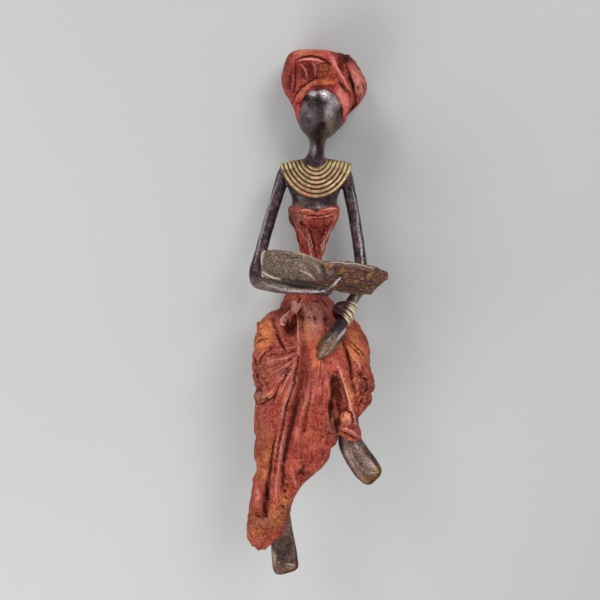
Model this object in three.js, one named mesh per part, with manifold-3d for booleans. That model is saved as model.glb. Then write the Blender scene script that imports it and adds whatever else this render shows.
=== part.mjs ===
// A cast bronze woman who sits upright and reads, in a long wrapped dress and a turban.
//
// She is described as she sits: x runs to her left, y to her back and z up, in millimetres. The flat
// underside of her thighs is the plane z = 0, and her legs turn down over the line y = 0. She can't sit by
// herself, so at the end she is laid on her back: her z becomes the length Y, and the floor lies behind her.

import * as THREE from 'three';
import { mergeVertices } from 'three/addons/utils/BufferGeometryUtils.js';
import Module from 'manifold-3d';

const wasm = await Module();
wasm.setup();

// Driving dimensions
const BACK = 43;
const CALF_CLEARANCE = 0.6;
const LAP_TURN = 12;
const HEM_START = -58;
const HEM_SQUARE = 2.5;
const VIEW_TILT = THREE.MathUtils.degToRad(19);
const CARVED_SHARE = 0.68;

// Collar: rings from the neck out to the shoulders, and how far it hangs
const COLLAR_RINGS = 7;
const COLLAR_MIDDLE = new THREE.Vector3(0.2, 20.4, 100);
const COLLAR_REACH = 16.6;
const COLLAR_INSIDE = 4.2;
const COLLAR_RIDGE = 0.6;
const COLLAR_THICKNESS = 2.6;
const COLLAR_DEPTHS = { sides: 0.95, front: 0.62, behind: 0.5 };
const COLLAR_DROPS = { sides: 1.8, front: 10.9, behind: 6, edge: 0.7, throat: 3 };

const BRACELETS = 5;
const BRACELET_PLACE = 8.6;
const BRACELET_RADIUS = 3.7;
const BRACELET_WIRE = 1;
const BRACELET_PITCH = 1.8;
const BRACELET_END = 0.4;

const BOOK_THICKNESS = 3.4;
const BOOK_TILT = THREE.MathUtils.degToRad(30);
const BOOK_BOW = 1.2;
const SPINE_PLACE = 2.4;
const SPINE_HALF_WIDTH = 2.2;
const SPINE_DEPTH = 0.66;

// Her body and bodice, level by level: height, right side, left side, front, back
const TORSO = [
  [8, -17, 15, 14, 41],
  [17, -19, 15.6, 12, 41.6],
  [24, -18.2, 13.2, 10.6, 39],
  [30, -15.8, 8.2, 10.4, 34.5],
  [35, -13.4, 5.6, 12, 31],
  [40, -10.6, 4.6, 13.4, 29],
  [46, -7.8, 4, 14.4, 27.6],
  [51.5, -6.7, 3.4, 15, 27],
  [56.5, -7.1, 4.7, 14.6, 27],
  [61.5, -8.4, 6.2, 13.6, 27.2],
  [66, -9.2, 7.4, 12, 27.6],
  [69, -10.8, 9.2, 9.8, 28],
  [73, -12.6, 10.8, 8.2, 28.4],
  [76.4, -13, 11.2, 8, 28.4],
  [78.2, -12.4, 10.9, 8.6, 28.2],
  [78.8, -10.9, 10.3, 10.8, 28],
  [81, -10.9, 10.3, 11.4, 28],
  [86, -12.4, 11.8, 12, 28],
  [92, -14.4, 14, 13.9, 28],
  [96.5, -12.5, 12.3, 16.2, 26.6],
  [99, -7.5, 7.5, 17.6, 25],
];

// Neck and blank egg of a face, level by level as the torso
const HEAD = [
  [95, -7, 7, 15.6, 26],
  [98.6, -6.6, 6.2, 15.8, 25.4],
  [101.5, -4.2, 4.3, 16, 24],
  [104, -3, 4.1, 15.8, 23.2],
  [106.5, -2.6, 4.4, 15, 22.6],
  [109, -3, 5, 13, 23],
  [111, -4.3, 7.6, 10.6, 24],
  [114, -6.8, 10.4, 7.6, 26],
  [117.5, -8, 12, 5.2, 28],
  [121.5, -8.6, 12.6, 3.8, 30],
  [125, -8.6, 12.5, 3.2, 31],
  [129, -8, 11.8, 3.4, 31],
  [132.5, -6.4, 10, 5, 30],
  [136, -3, 6.6, 9, 28],
];

// Wound turban, level by level as the torso
const TURBAN = [
  [113.5, -3, 9, 17, 28],
  [116, -6.8, 11.6, 13, 34],
  [119, -8.6, 14, 11.6, 38],
  [122, -9.8, 17.6, 10.6, 40.5],
  [126, -12, 21, 9.6, 43],
  [130.5, -14.6, 23, 7.4, 44],
  [133, -15.2, 22.8, 5.4, 44],
  [136, -15.2, 21.4, 3.2, 43.8],
  [139, -14.6, 19.8, 2.6, 43],
  [143, -13.4, 17.6, 3.6, 41.4],
  [145.3, -12.2, 13.4, 5.8, 38.6],
  [146.7, -10.8, 8.6, 9, 35],
  [147.6, -7.6, 2.6, 13.6, 30],
];

// Rolled band of the turban around the face: x, y, z of its middle, half its depth and half its height
const HEADBAND = [
  [-6.3, 15.4, 115.4, 1.2, 0.5],
  [-7.3, 14, 118.8, 1.5, 0.9],
  [-7.8, 12, 122.6, 1.8, 1.2],
  [-7.7, 10, 126.6, 2, 1.5],
  [-6.2, 7.6, 130.2, 2, 1.8],
  [-3.5, 5.6, 133.1, 2, 2],
  [0.3, 4.4, 134.6, 2, 2.2],
  [4.8, 4.4, 134.2, 2, 2.3],
  [8.7, 5.8, 132.1, 2, 2.4],
  [11.6, 8.4, 128.8, 2, 2.4],
  [12.9, 11, 124.8, 2, 2.1],
  [12.6, 13.2, 121, 2, 1.5],
  [11.5, 15, 117.9, 1.6, 1],
  [10.3, 16.6, 115.4, 1.2, 0.5],
];

// Dress over the lap, the knees and down to the hem. The first number is the way along it: y over the lap,
// then LAP_TURN millimetres of turn over the knees, then down. Then right side, left side, inner and outer
// face measured away from the thighs' underside, how much lower the left side is, and how squared off the
// section is.
const SKIRT = [
  [44, -10, 9, 3, 13, 0, 2],
  [42.4, -15.6, 14.4, 0.6, 18, 0.6, 2.1],
  [38, -20.4, 18.6, -0.4, 23, 2, 2.2],
  [33, -23, 21, -0.6, 26.4, 3.4, 2.4],
  [26, -25, 23, -0.8, 28.4, 5, 2.8],
  [16, -26.8, 24.8, -0.8, 29.4, 7, 3.4],
  [6, -28.4, 26, -0.8, 29.4, 8.2, 3.8],
  [0, -28.6, 26, -0.8, 28.8, 8, 3.7],
  [-4, -28.6, 25, 0.6, 30.4, 6, 3.4],
  [-8, -28.6, 22, 1, 30.6, 3, 3],
  [-12, -27.9, 16, 1, 29, 1, 2.7],
  [-18, -27.7, 12.6, 1, 27, 0, 2.5],
  [-28, -28.8, 11.6, 1, 25.6, 0, 2.5],
  [-38, -28.8, 11, 1, 24.8, 0, 2.5],
  [-42, -29, 8, 1, 24.6, 0, 2.5],
  [-47, -29.6, 7.4, 1, 24, 0, 2.5],
  [-51, -28.2, 5, 1, 23.6, 0, 2.5],
  [-56, -28.2, -0.4, 1.2, 23.2, 0, 2.5],
  [-62, -29.8, -5.4, 1.6, 23, 0, 2.5],
  [-69, -30.8, -9.2, 2, 23, 0, 2.5],
];
// Below HEM_START the dress is a tube that is cut off aslant: share of the way, right, left, inner, outer
const HEM_TUBE = [
  [0, -31, -9.6, 2, 23],
  [0.35, -32.2, -11, 2.2, 23.2],
  [0.7, -33.2, -11.6, 2.4, 23.6],
  [0.92, -33.6, -11.8, 2.6, 23.6],
  [1, -32.6, -12.4, 3.4, 22.6],
];
// Height of the hem from her right to her left
const HEM = [
  [-33.5, -80.5],
  [-31.5, -82],
  [-26, -82.8],
  [-22.8, -81],
  [-21.2, -78.8],
  [-18.6, -76.4],
  [-14.5, -73.4],
  [-11, -69],
];
const HEM_RECESS = 5;

// Dress over the left knee and calf down to its cuff, level by level as the torso
const CALF = [
  [-25.6, 10, 21.8, -19.5, -3.5],
  [-24.6, 9.4, 22.2, -20.2, -3],
  [-20.5, 9.6, 20.9, -21, -2.6],
  [-16, 10, 19.6, -22, -2.2],
  [-13, 10, 19.9, -23.6, -1.8],
  [-10, 10, 21.4, -24.8, -1.6],
  [-7, 9.6, 23.6, -26, -1.4],
  [-4, 9, 25.6, -27.4, -1],
  [0, 8, 26.4, -28.8, -1],
  [4, 6, 26.6, -29.4, 0],
  [9, 4, 25.8, -29, 4],
  [14, 3, 23.4, -26, 6],
  [18.6, 6, 19, -18, 2],
];
// Below CUFF_TOP the cuff slopes down to her left, and keeps the height in the table at x = CUFF_LEVEL
const CUFF_TOP = -16;
const CUFF_LEVEL = 20.5;
const CUFF_SLANT = 0.34;
const CUFF_RECESS = 4;

// Carved lines seen from the front: x, and the height on a plane square to a gaze from VIEW_TILT above
const SKIRT_LINES = [
  { name: 'crease beside the right thigh', depth: -2.8, width: 2.1,
    line: [[-7, 16.5], [-5.5, 10], [-6, 2], [-9.5, -14], [-14, -33.5], [-15, -42.5], [-14.5, -52]] },
  { name: 'ridge of the right thigh', depth: 1.5, width: 1.7,
    line: [[-7, 30.5], [-8, 23], [-7.5, 15], [-11, -3.5], [-16, -23.5], [-18, -32.5]] },
  { name: 'edge of the middle panel', depth: 1.1, width: 1.8,
    line: [[-2.5, 9.5], [-3, 0.5], [-5.5, -8], [-8, -20], [-11, -31.5], [-12.5, -42.5]] },
  { name: 'left edge of the middle panel', depth: 1.3, width: 1.7,
    line: [[1.5, 8], [5.5, 0.5], [6.5, -10.5], [7, -22.5], [6, -35]] },
  { name: 'fold within the middle panel', depth: -0.6, width: 0.9,
    line: [[-1, 1.5], [-2.5, -12.5], [-5.5, -27.5]] },
  { name: 'hollow between the legs', depth: -3.4, width: 1.9,
    line: [[9, 7], [8.5, -0.5], [9.5, -9], [10.5, -18], [9.5, -30]] },
  { name: 'crease under the right thigh', depth: -1.9, width: 1.9,
    line: [[-17.5, -27.5], [-20, -36.5], [-22, -53.5], [-23, -63.5], [-24, -69.5]] },
  { name: 'crease outside the right knee', depth: -1.8, width: 1.5,
    line: [[-24, 10], [-23, 3], [-24.5, -2.5], [-29, -6.5]] },
  { name: 'pucker outside the right thigh', depth: -1.2, width: 1.1,
    line: [[-18, 22], [-16, 17.5], [-13.5, 13.5]] },
  { name: 'hollow under the hip knot', depth: -2, width: 2,
    line: [[-13.5, 22.5], [-11, 25], [-8.5, 26.5]] },
  { name: 'hollow where the dress is drawn in', depth: -1.5, width: 1.6,
    line: [[-7, -47], [-4.5, -43]] },
];
const CALF_LINES = [
  { name: 'ridge down the left shin', depth: 1.3, width: 1.7,
    line: [[9, 14.5], [10.5, 6.5], [12, -1.5], [14.5, -9], [16.5, -16], [19, -23.5]] },
  { name: 'crease beside the ridge', depth: -1.4, width: 1.2,
    line: [[12, 18.5], [14, 13.5], [15, 8.5], [15.5, 2]] },
  { name: 'crease over the knee', depth: -1.2, width: 1.1,
    line: [[13.5, 20], [17.5, 16], [21.5, 12.5]] },
  { name: 'pucker outside the calf', depth: -1.5, width: 1.5,
    line: [[25, -3.5], [21.5, -0.5]] },
];
const TURBAN_LINES = [
  { name: 'valley inside the right roll', depth: -1.9, width: 1.5,
    line: [[-9, 140], [-9, 133], [-9.5, 128.5], [-11, 125]] },
  { name: 'valley under the top roll', depth: -1.5, width: 1.2,
    line: [[-9, 139], [-3.5, 139.5], [2, 139], [5.5, 137]] },
  { name: 'sunk front panel', depth: -1.4, width: 3.6,
    line: [[-4.5, 134.5], [2, 135]] },
  { name: 'slanting fold', depth: 1.7, width: 1.4,
    line: [[5, 141], [7.5, 135.5], [11, 130.5], [14.5, 127.5]] },
  { name: 'hollow behind the slanting fold', depth: -3.4, width: 2,
    line: [[11.5, 140.5], [12, 136.5], [11, 133.5]] },
  { name: 'valley inside the left roll', depth: -1.8, width: 1.4,
    line: [[12.5, 137.5], [14, 131.5], [16, 127], [16.5, 123.5], [15, 120.5]] },
];
const BODICE_LINES = [
  { name: 'fold under the right breast', depth: 0.8, width: 1.1,
    line: [[-6.5, 70.5], [-4, 64.5], [-0.5, 57]] },
  { name: 'fold under the left breast', depth: 0.8, width: 1.1,
    line: [[6.5, 68.5], [3, 64.5], [2.5, 56]] },
  { name: 'valley between the breasts', depth: -0.7, width: 2,
    line: [[-1, 78], [-0.5, 70.5]] },
  { name: 'wrap over the breasts', depth: 0.5, width: 0.9,
    line: [[-2.5, 77], [1, 74], [9.5, 74.5]] },
];

// Limbs: x, y, z of the middle, then half the width and half the thickness
const RIGHT_ARM = [
  [-12.4, 20.5, 96.4, 2.2, 2.2],
  [-14.4, 20.4, 93.4, 3, 3],
  [-17, 19.8, 85.4, 2.9, 3],
  [-21.4, 18, 71.6, 2.8, 2.9],
  [-25.6, 15, 57, 2.9, 2.8],
  [-28.2, 12.4, 48, 3, 2.9],
  [-27, 7.6, 44.8, 3, 3],
  [-20.6, -0.6, 45.8, 2.8, 3],
  [-13, -8.4, 47.2, 2.6, 2.9],
  [-6, -14, 48.4, 2.4, 2.6],
  [-1.6, -17.6, 49.2, 2.4, 2.3],
];
const LEFT_ARM = [
  [12, 20.5, 96, 2.2, 2.2],
  [14, 20.4, 92.6, 3, 3],
  [15.8, 19.8, 85.4, 2.9, 3],
  [18.6, 18, 71.6, 2.8, 2.9],
  [21, 15, 57, 2.8, 2.8],
  [22.2, 12.4, 47, 2.8, 2.8],
  [21.1, 9, 42, 2.8, 2.8],
  [18.2, 4, 38.2, 2.6, 2.6],
  [14.7, -0.4, 34.2, 2.5, 2.5],
  [11.9, -5, 30.1, 2.4, 2.3],
  [9.9, -8.6, 26.7, 2.5, 2.1],
];
const LEFT_HAND = [
  [12.8, -5, 30.9, 2.2, 2],
  [11.4, -8.5, 28.8, 3, 1.9],
  [8.9, -12.8, 26.1, 3.6, 1.8],
  [6.1, -17.2, 23.6, 3.5, 1.7],
  [3.5, -20.6, 21.3, 2.8, 1.5],
  [1.4, -23.2, 19.6, 1.4, 1],
];
const LEFT_THUMB = [
  [7.9, -9, 26.6, 1.1, 1.1],
  [4.8, -13.4, 25.2, 1.2, 1.2],
  [2.5, -16.8, 23.7, 1.1, 1.1],
  [0.9, -19, 22.2, 0.7, 0.7],
];
const RIGHT_PALM = [
  [-4, -16.2, 49.2, 2.2, 2.2],
  [-0.6, -18.4, 49.8, 3, 2.4],
  [3, -20.6, 50.6, 3.6, 2.6],
  [5.4, -22, 51.6, 2.8, 2.2],
];
const RIGHT_FINGERS = [
  [
    [1.4, -21, 51.4, 1.1, 1.1],
    [3.6, -24, 55, 1.25, 1.2],
    [6, -27.4, 59.4, 1.2, 1.1],
    [7.4, -29, 61.6, 0.7, 0.7],
  ],
  [
    [3.4, -20.6, 49.4, 1.1, 1.1],
    [6, -23.4, 52.4, 1.25, 1.2],
    [8.8, -26, 56, 1.2, 1.1],
    [10.2, -27.2, 57.8, 0.7, 0.7],
  ],
];
const RIGHT_FOOT = [
  [-17.6, -10.4, -58, 4.6, 4.6],
  [-17, -11, -69, 5, 4.8],
  [-16.4, -12.6, -77, 5.5, 4.8],
  [-15.6, -15.4, -83, 6, 4.2],
  [-14.8, -18.4, -88, 6.4, 3.4],
  [-14.1, -21, -92.2, 6.5, 2.7],
  [-13.4, -22.6, -94.2, 5.6, 2.2],
  [-13.1, -23.2, -95.1, 3.4, 1.3],
];
const LEFT_FOOT = [
  [15.8, -9.6, -17, 4.6, 4.6],
  [16.2, -9.8, -25, 5.2, 4.9],
  [17, -10.6, -30, 5.8, 4.9],
  [20, -12.6, -35.4, 6.3, 4.2],
  [23.4, -15, -39.6, 6.4, 3.5],
  [26.3, -17.3, -42.6, 6, 2.8],
  [27.9, -18.6, -44.2, 5, 2.2],
  [28.8, -19.3, -45, 3, 1.3],
];
const HIP_KNOT = [
  [-6.1, 12.4, 33.6, 1.1, 1],
  [-7.8, 10.6, 32.2, 2.1, 1.3],
  [-9.6, 9.2, 30, 2.5, 1.4],
  [-10.6, 7, 27.8, 1.8, 1.3],
];

// Open book: x, y and z of the lower edge, and its height up the slope
const BOOK = [
  [-23.8, -9.4, 54.6, 12.2],
  [-23, -10.2, 53.4, 15.2],
  [-17, -12.8, 52.2, 18.2],
  [-10, -15.6, 51.8, 18.6],
  [-3, -18.4, 51.4, 17.8],
  [2.4, -20.2, 50.8, 16.2],
  [8, -18.4, 49.4, 17.2],
  [14, -15.6, 47.4, 18.8],
  [20, -12.9, 45.9, 18],
  [24.2, -11.1, 45.4, 17],
  [25.2, -11.2, 46.4, 15.4],
  [27.6, -11.9, 49.7, 9.6],
  [30.4, -12.7, 53.5, 3],
  [31.3, -12.9, 54.6, 0.9],
];

// Every column of the rows at t, on curves that don't overshoot between them
function along(rows, t) {
  const last = rows.length - 1;
  const forward = rows[last][0] > rows[0][0] ? 1 : -1;
  let i = 0;
  while (i < last - 1 && (rows[i + 1][0] - t) * forward < 0) i += 1;
  const width = rows[i + 1][0] - rows[i][0];
  const s = THREE.MathUtils.clamp((t - rows[i][0]) / width, 0, 1);
  const slope = (column, k) => {
    const rise = (j) => (rows[j + 1][column] - rows[j][column]) / (rows[j + 1][0] - rows[j][0]);
    if (k === 0) return rise(0);
    if (k === last) return rise(last - 1);
    const before = rise(k - 1);
    const after = rise(k);
    return before * after > 0 ? (2 * before * after) / (before + after) : 0;
  };
  return rows[0].map((_, column) => {
    if (column === 0) return t;
    const from = rows[i][column];
    const to = rows[i + 1][column];
    const m0 = slope(column, i) * width;
    const m1 = slope(column, i + 1) * width;
    return from * (1 + 2 * s) * (1 - s) ** 2 + m0 * s * (1 - s) ** 2
      + to * s * s * (3 - 2 * s) + m1 * s * s * (s - 1);
  });
}

// Distance from a point to a line of points on the plane square to the gaze
function distance(line, x, h) {
  let best = Infinity;
  for (let i = 0; i < line.length - 1; i += 1) {
    const [ax, ay] = line[i];
    const [bx, by] = line[i + 1];
    const length = (bx - ax) ** 2 + (by - ay) ** 2;
    const s = THREE.MathUtils.clamp(((x - ax) * (bx - ax) + (h - ay) * (by - ay)) / length, 0, 1);
    best = Math.min(best, Math.hypot(x - ax - s * (bx - ax), h - ay - s * (by - ay)));
  }
  return best;
}

// How far the carved lines push a point outwards, given where it is and which way it faces
function carving(lines, point, facing) {
  const seen = -facing.y * Math.cos(VIEW_TILT) + facing.z * Math.sin(VIEW_TILT);
  const weight = THREE.MathUtils.smoothstep(seen, -0.15, 0.45);
  const height = point.z * Math.cos(VIEW_TILT) + point.y * Math.sin(VIEW_TILT);
  let push = 0;
  for (const { depth, width, line } of lines) {
    push += depth * Math.exp(-((distance(line, point.x, height) / width) ** 2));
  }
  return push * weight;
}

// Closed geometry through rings of equally many points, closed by a fan at both ends
function loft(rings) {
  const sides = rings[0].length;
  const middle = (ring) => ring.reduce((sum, p) => sum.add(p), new THREE.Vector3()).divideScalar(sides);
  const points = [...rings.flat(), middle(rings[0]), middle(rings[rings.length - 1])];
  const start = points.length - 2;
  const end = points.length - 1;
  const top = (rings.length - 1) * sides;
  const faces = [];
  for (let j = 0; j < sides; j += 1) {
    const k = (j + 1) % sides;
    for (let i = 0; i < rings.length - 1; i += 1) {
      const a = i * sides;
      const b = a + sides;
      faces.push(a + j, a + k, b + k, a + j, b + k, b + j);
    }
    faces.push(start, k, j, end, top + j, top + k);
  }
  const geometry = new THREE.BufferGeometry().setFromPoints(points);
  geometry.setIndex(faces);
  return geometry;
}

// Ring loop that closes on itself lengthwise, such as a wire ring
function closedLoft(rings) {
  const sides = rings[0].length;
  const faces = [];
  for (let i = 0; i < rings.length; i += 1) {
    const a = i * sides;
    const b = ((i + 1) % rings.length) * sides;
    for (let j = 0; j < sides; j += 1) {
      const k = (j + 1) % sides;
      faces.push(a + j, a + k, b + k, a + j, b + k, b + j);
    }
  }
  const geometry = new THREE.BufferGeometry().setFromPoints(rings.flat());
  geometry.setIndex(faces);
  return geometry;
}

// The geometry as a solid with its faces turned outwards
function solid(geometry) {
  const bare = geometry.clone();
  bare.deleteAttribute('normal');
  bare.deleteAttribute('uv');
  const merged = mergeVertices(bare, 1e-4);
  const position = merged.attributes.position;
  const index = merged.index.array;
  const a = new THREE.Vector3();
  const b = new THREE.Vector3();
  const c = new THREE.Vector3();
  let volume = 0;
  for (let i = 0; i < index.length; i += 3) {
    a.fromBufferAttribute(position, index[i]);
    b.fromBufferAttribute(position, index[i + 1]);
    c.fromBufferAttribute(position, index[i + 2]);
    volume += a.dot(b.cross(c));
  }
  const triVerts = Uint32Array.from(index);
  if (volume < 0) {
    for (let i = 0; i < triVerts.length; i += 3) {
      [triVerts[i + 1], triVerts[i + 2]] = [triVerts[i + 2], triVerts[i + 1]];
    }
  }
  const vertProperties = Float32Array.from(position.array);
  return new wasm.Manifold(new wasm.Mesh({ numProp: 3, vertProperties, triVerts }));
}

// Unit circle squared off a little: a power of 2 is round
function corner(angle, power) {
  const c = Math.cos(angle);
  const s = Math.sin(angle);
  return [Math.sign(c) * Math.abs(c) ** (2 / power), Math.sign(s) * Math.abs(s) ** (2 / power)];
}

function turns(count) {
  return Array.from({ length: count }, (_, i) => (2 * Math.PI * i) / count);
}

// Angles around a section, closer together over the half towards the angle front, which is carved
function carvedTurns(count, front) {
  const share = Math.round(count * CARVED_SHARE);
  const near = Array.from({ length: share }, (_, i) => front - Math.PI / 2 + (Math.PI * i) / share);
  const rest = count - share;
  const far = Array.from({ length: rest }, (_, i) => front + Math.PI / 2 + (Math.PI * i) / rest);
  return [...near, ...far];
}

function steps(from, to, count) {
  return Array.from({ length: count + 1 }, (_, i) => from + ((to - from) * i) / count);
}

// Body of level rings through a table of heights, sides, front and back
function levels(rows, heights, sides, power, lines = []) {
  return heights.map((z) => {
    const [, right, left, front, back] = along(rows, z);
    return carvedTurns(sides, -Math.PI / 2).map((angle) => {
      const [u, v] = corner(angle, power);
      const halfWidth = (left - right) / 2;
      const halfDepth = (back - front) / 2;
      const middle = new THREE.Vector3((left + right) / 2, (front + back) / 2, z);
      const point = middle.add(new THREE.Vector3(halfWidth * u, halfDepth * v, 0));
      const facing = new THREE.Vector3(u / halfWidth, v / halfDepth, 0).normalize();
      return point.addScaledVector(facing, carving(lines, point, facing));
    });
  });
}

// Limb through rows of a middle, half a width and half a thickness; wide says which way its width runs
function limb(rows, count, sides, wide) {
  const table = rows.map((row, i) => [i, ...row]);
  const last = rows.length - 1;
  const centre = (t) => new THREE.Vector3(...along(table, t).slice(1, 4));
  return steps(0, last, count).map((t) => {
    const [, , , , halfWidth, halfThickness] = along(table, t);
    const way = centre(Math.min(t + 0.2, last)).sub(centre(Math.max(t - 0.2, 0))).normalize();
    const across = wide.clone().addScaledVector(way, -wide.dot(way)).normalize();
    const up = new THREE.Vector3().crossVectors(way, across);
    return turns(sides).map((angle) => centre(t)
      .addScaledVector(across, halfWidth * Math.cos(angle))
      .addScaledVector(up, halfThickness * Math.sin(angle)));
  });
}

// Place and outward direction of a section of the skirt, which turns down over the line y = 0
function skirtSection(t) {
  if (t > 0) return { origin: new THREE.Vector3(0, t, 0), out: new THREE.Vector3(0, 0, 1) };
  const angle = (Math.PI / 2) * Math.min(1, -t / LAP_TURN);
  const drop = Math.min(0, t + LAP_TURN);
  return {
    origin: new THREE.Vector3(0, 0, drop),
    out: new THREE.Vector3(0, -Math.sin(angle), Math.cos(angle)),
  };
}

function skirt() {
  const angles = carvedTurns(32, Math.PI / 2);
  const lap = [44, 42.4, 38, 31, 22, 12, 2, -2.5, -6, -9, -12, ...steps(-16, HEM_START - LAP_TURN + 1, 13)];
  const rings = lap.map((t) => {
    const [, right, left, near, far, lean, square] = along(SKIRT, t);
    const { origin, out } = skirtSection(t);
    return angles.map((angle) => {
      const [u, v] = corner(angle, square);
      const rise = (near + far) / 2 + ((far - near) / 2) * v - (lean * (u + 1) * (v + 1)) / 4;
      const point = origin.clone().addScaledVector(out, rise);
      point.x = (left + right) / 2 + ((left - right) / 2) * u;
      const facing = out.clone().multiplyScalar(v / (far - near));
      facing.x = u / (left - right);
      facing.normalize();
      return point.addScaledVector(facing, carving(SKIRT_LINES, point, facing));
    });
  });
  const tube = (share, shrink, lift) => {
    const [, right, left, near, far] = along(HEM_TUBE, share);
    return angles.map((angle) => {
      const [u, v] = corner(angle, HEM_SQUARE);
      const x = (left + right) / 2 + ((left - right) / 2) * u * shrink;
      const y = -(near + far) / 2 - ((far - near) / 2) * v * shrink;
      const foot = along(HEM, THREE.MathUtils.clamp(x, HEM[0][0], HEM[HEM.length - 1][0]))[1];
      const point = new THREE.Vector3(x, y, HEM_START + (foot - HEM_START) * share + lift);
      const facing = new THREE.Vector3(u / (left - right), -v / (far - near), 0).normalize();
      return point.addScaledVector(facing, carving(SKIRT_LINES, point, facing));
    });
  };
  const down = [0, 0.25, 0.5, 0.75, 0.92, 1].map((share) => tube(share, 1, 0));
  return solid(loft([...rings, ...down, tube(1, 0.84, 0), tube(1, 0.7, HEM_RECESS)]));
}

function calf() {
  const heights = [-25.6, -24.6, -20.5, -16, -12, -8.5, -5, -1.5, 2, 5.5, 9, 12.5, 15.6, 18.6];
  const rings = levels(CALF, heights, 20, 2.3, CALF_LINES);
  for (const point of rings.flat()) {
    const share = THREE.MathUtils.clamp((CUFF_TOP - point.z) / (CUFF_TOP - CALF[0][0]), 0, 1);
    point.z += share * (CUFF_LEVEL - point.x) * CUFF_SLANT;
  }
  const [, right, left, front, back] = CALF[0];
  const shrunk = (scale, lift) => rings[0].map((p) => {
    const middle = new THREE.Vector3((right + left) / 2, (front + back) / 2, p.z);
    return p.clone().sub(middle).multiplyScalar(scale).add(middle).setZ(p.z + lift);
  });
  return solid(loft([shrunk(0.7, CUFF_RECESS), shrunk(0.88, 0), ...rings]));
}

// Broad collar of rings that lies over the shoulders and hangs lower on the breast than behind
function collarPoint(angle, reach) {
  const radius = THREE.MathUtils.lerp(COLLAR_INSIDE, COLLAR_REACH, reach);
  const { sides, edge, throat } = COLLAR_DROPS;
  const front = Math.max(0, Math.cos(angle));
  const behind = Math.max(0, -Math.cos(angle));
  const flat = front > 0 ? COLLAR_DEPTHS.front : COLLAR_DEPTHS.behind;
  const deep = THREE.MathUtils.lerp(COLLAR_DEPTHS.sides, flat, (front + behind) * reach);
  const hang = sides + COLLAR_DROPS.front * front ** 1.5 + COLLAR_DROPS.behind * behind;
  const way = new THREE.Vector3(Math.sin(angle), -Math.cos(angle) * deep, 0);
  const point = COLLAR_MIDDLE.clone().addScaledVector(way, radius);
  point.z -= reach * hang + edge * reach ** 3 + throat * front ** 1.5;
  return point;
}

function collar() {
  const profile = [];
  for (let i = 0; i < COLLAR_RINGS; i += 1) {
    profile.push([i / COLLAR_RINGS, -0.1]);
    profile.push([(i + 0.5) / COLLAR_RINGS, COLLAR_RIDGE]);
  }
  profile.push([1, -0.2], [0.97, -COLLAR_THICKNESS], [0.5, -COLLAR_THICKNESS], [0, -COLLAR_THICKNESS]);
  const step = 0.02;
  return solid(closedLoft(turns(24).map((angle) => profile.map(([reach, lift]) => {
    const point = collarPoint(angle, reach);
    const outer = Math.max(reach, step);
    const around = collarPoint(angle + step, outer).sub(collarPoint(angle - step, outer));
    const outward = collarPoint(angle, reach + step).sub(collarPoint(angle, reach - step));
    return point.addScaledVector(outward.cross(around).normalize(), lift);
  }))));
}

// Two leaves and a spine, bowed outwards, leaning away from the reader
function book() {
  const sides = 10;
  return solid(loft(steps(BOOK[0][0], BOOK[BOOK.length - 1][0], 18).map((x) => {
    const [, y, z, height] = along(BOOK, x);
    const spine = SPINE_DEPTH * Math.exp(-(((x - SPINE_PLACE) / SPINE_HALF_WIDTH) ** 2));
    return turns(sides).map((angle) => {
      const [u, v] = corner(angle, 3);
      const rise = (height / 2) * (1 + u);
      const bow = BOOK_BOW * (1 - u * u) - spine;
      const thick = (BOOK_THICKNESS / 2) * v + bow;
      return new THREE.Vector3(
        x,
        y - rise * Math.sin(BOOK_TILT) - thick * Math.cos(BOOK_TILT),
        z + rise * Math.cos(BOOK_TILT) - thick * Math.sin(BOOK_TILT),
      );
    });
  })));
}

// Bracelets: wires side by side that fill the wrist as one ridged sleeve
function bracelets() {
  const table = LEFT_ARM.map((row, i) => [i, ...row]);
  const wrist = new THREE.Vector3(...along(table, BRACELET_PLACE).slice(1, 4));
  const way = new THREE.Vector3(...along(table, BRACELET_PLACE + 1).slice(1, 4)).sub(wrist).normalize();
  const across = new THREE.Vector3(1, 0, 0).addScaledVector(way, -way.x).normalize();
  const up = new THREE.Vector3().crossVectors(way, across);
  const ring = (shift, radius) => turns(14).map((angle) => wrist.clone()
    .addScaledVector(way, shift)
    .addScaledVector(across, radius * Math.cos(angle))
    .addScaledVector(up, radius * Math.sin(angle)));
  const half = (BRACELETS * BRACELET_PITCH) / 2;
  const rings = [ring(-half - BRACELET_END, BRACELET_RADIUS / 2)];
  for (let i = 0; i < BRACELETS; i += 1) {
    const shift = i * BRACELET_PITCH - half;
    rings.push(ring(shift, BRACELET_RADIUS));
    rings.push(ring(shift + BRACELET_PITCH / 2, BRACELET_RADIUS + BRACELET_WIRE));
  }
  rings.push(ring(half, BRACELET_RADIUS), ring(half + BRACELET_END, BRACELET_RADIUS / 2));
  return solid(loft(rings));
}

function block(xSize, ySize, zSize, x, y, z) {
  return solid(new THREE.BoxGeometry(xSize, ySize, zSize).translate(x, y, z));
}

const X = new THREE.Vector3(1, 0, 0);
const handWidth = new THREE.Vector3(0.85, 0.5, 0.1);
const palmWidth = new THREE.Vector3(0.2, -0.45, 0.85);
const footWidth = new THREE.Vector3(0.82, 0.12, 0.45);
const bandDepth = new THREE.Vector3(0, 1, 0.3);
const knotWidth = new THREE.Vector3(1, 0, 0.3);

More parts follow.
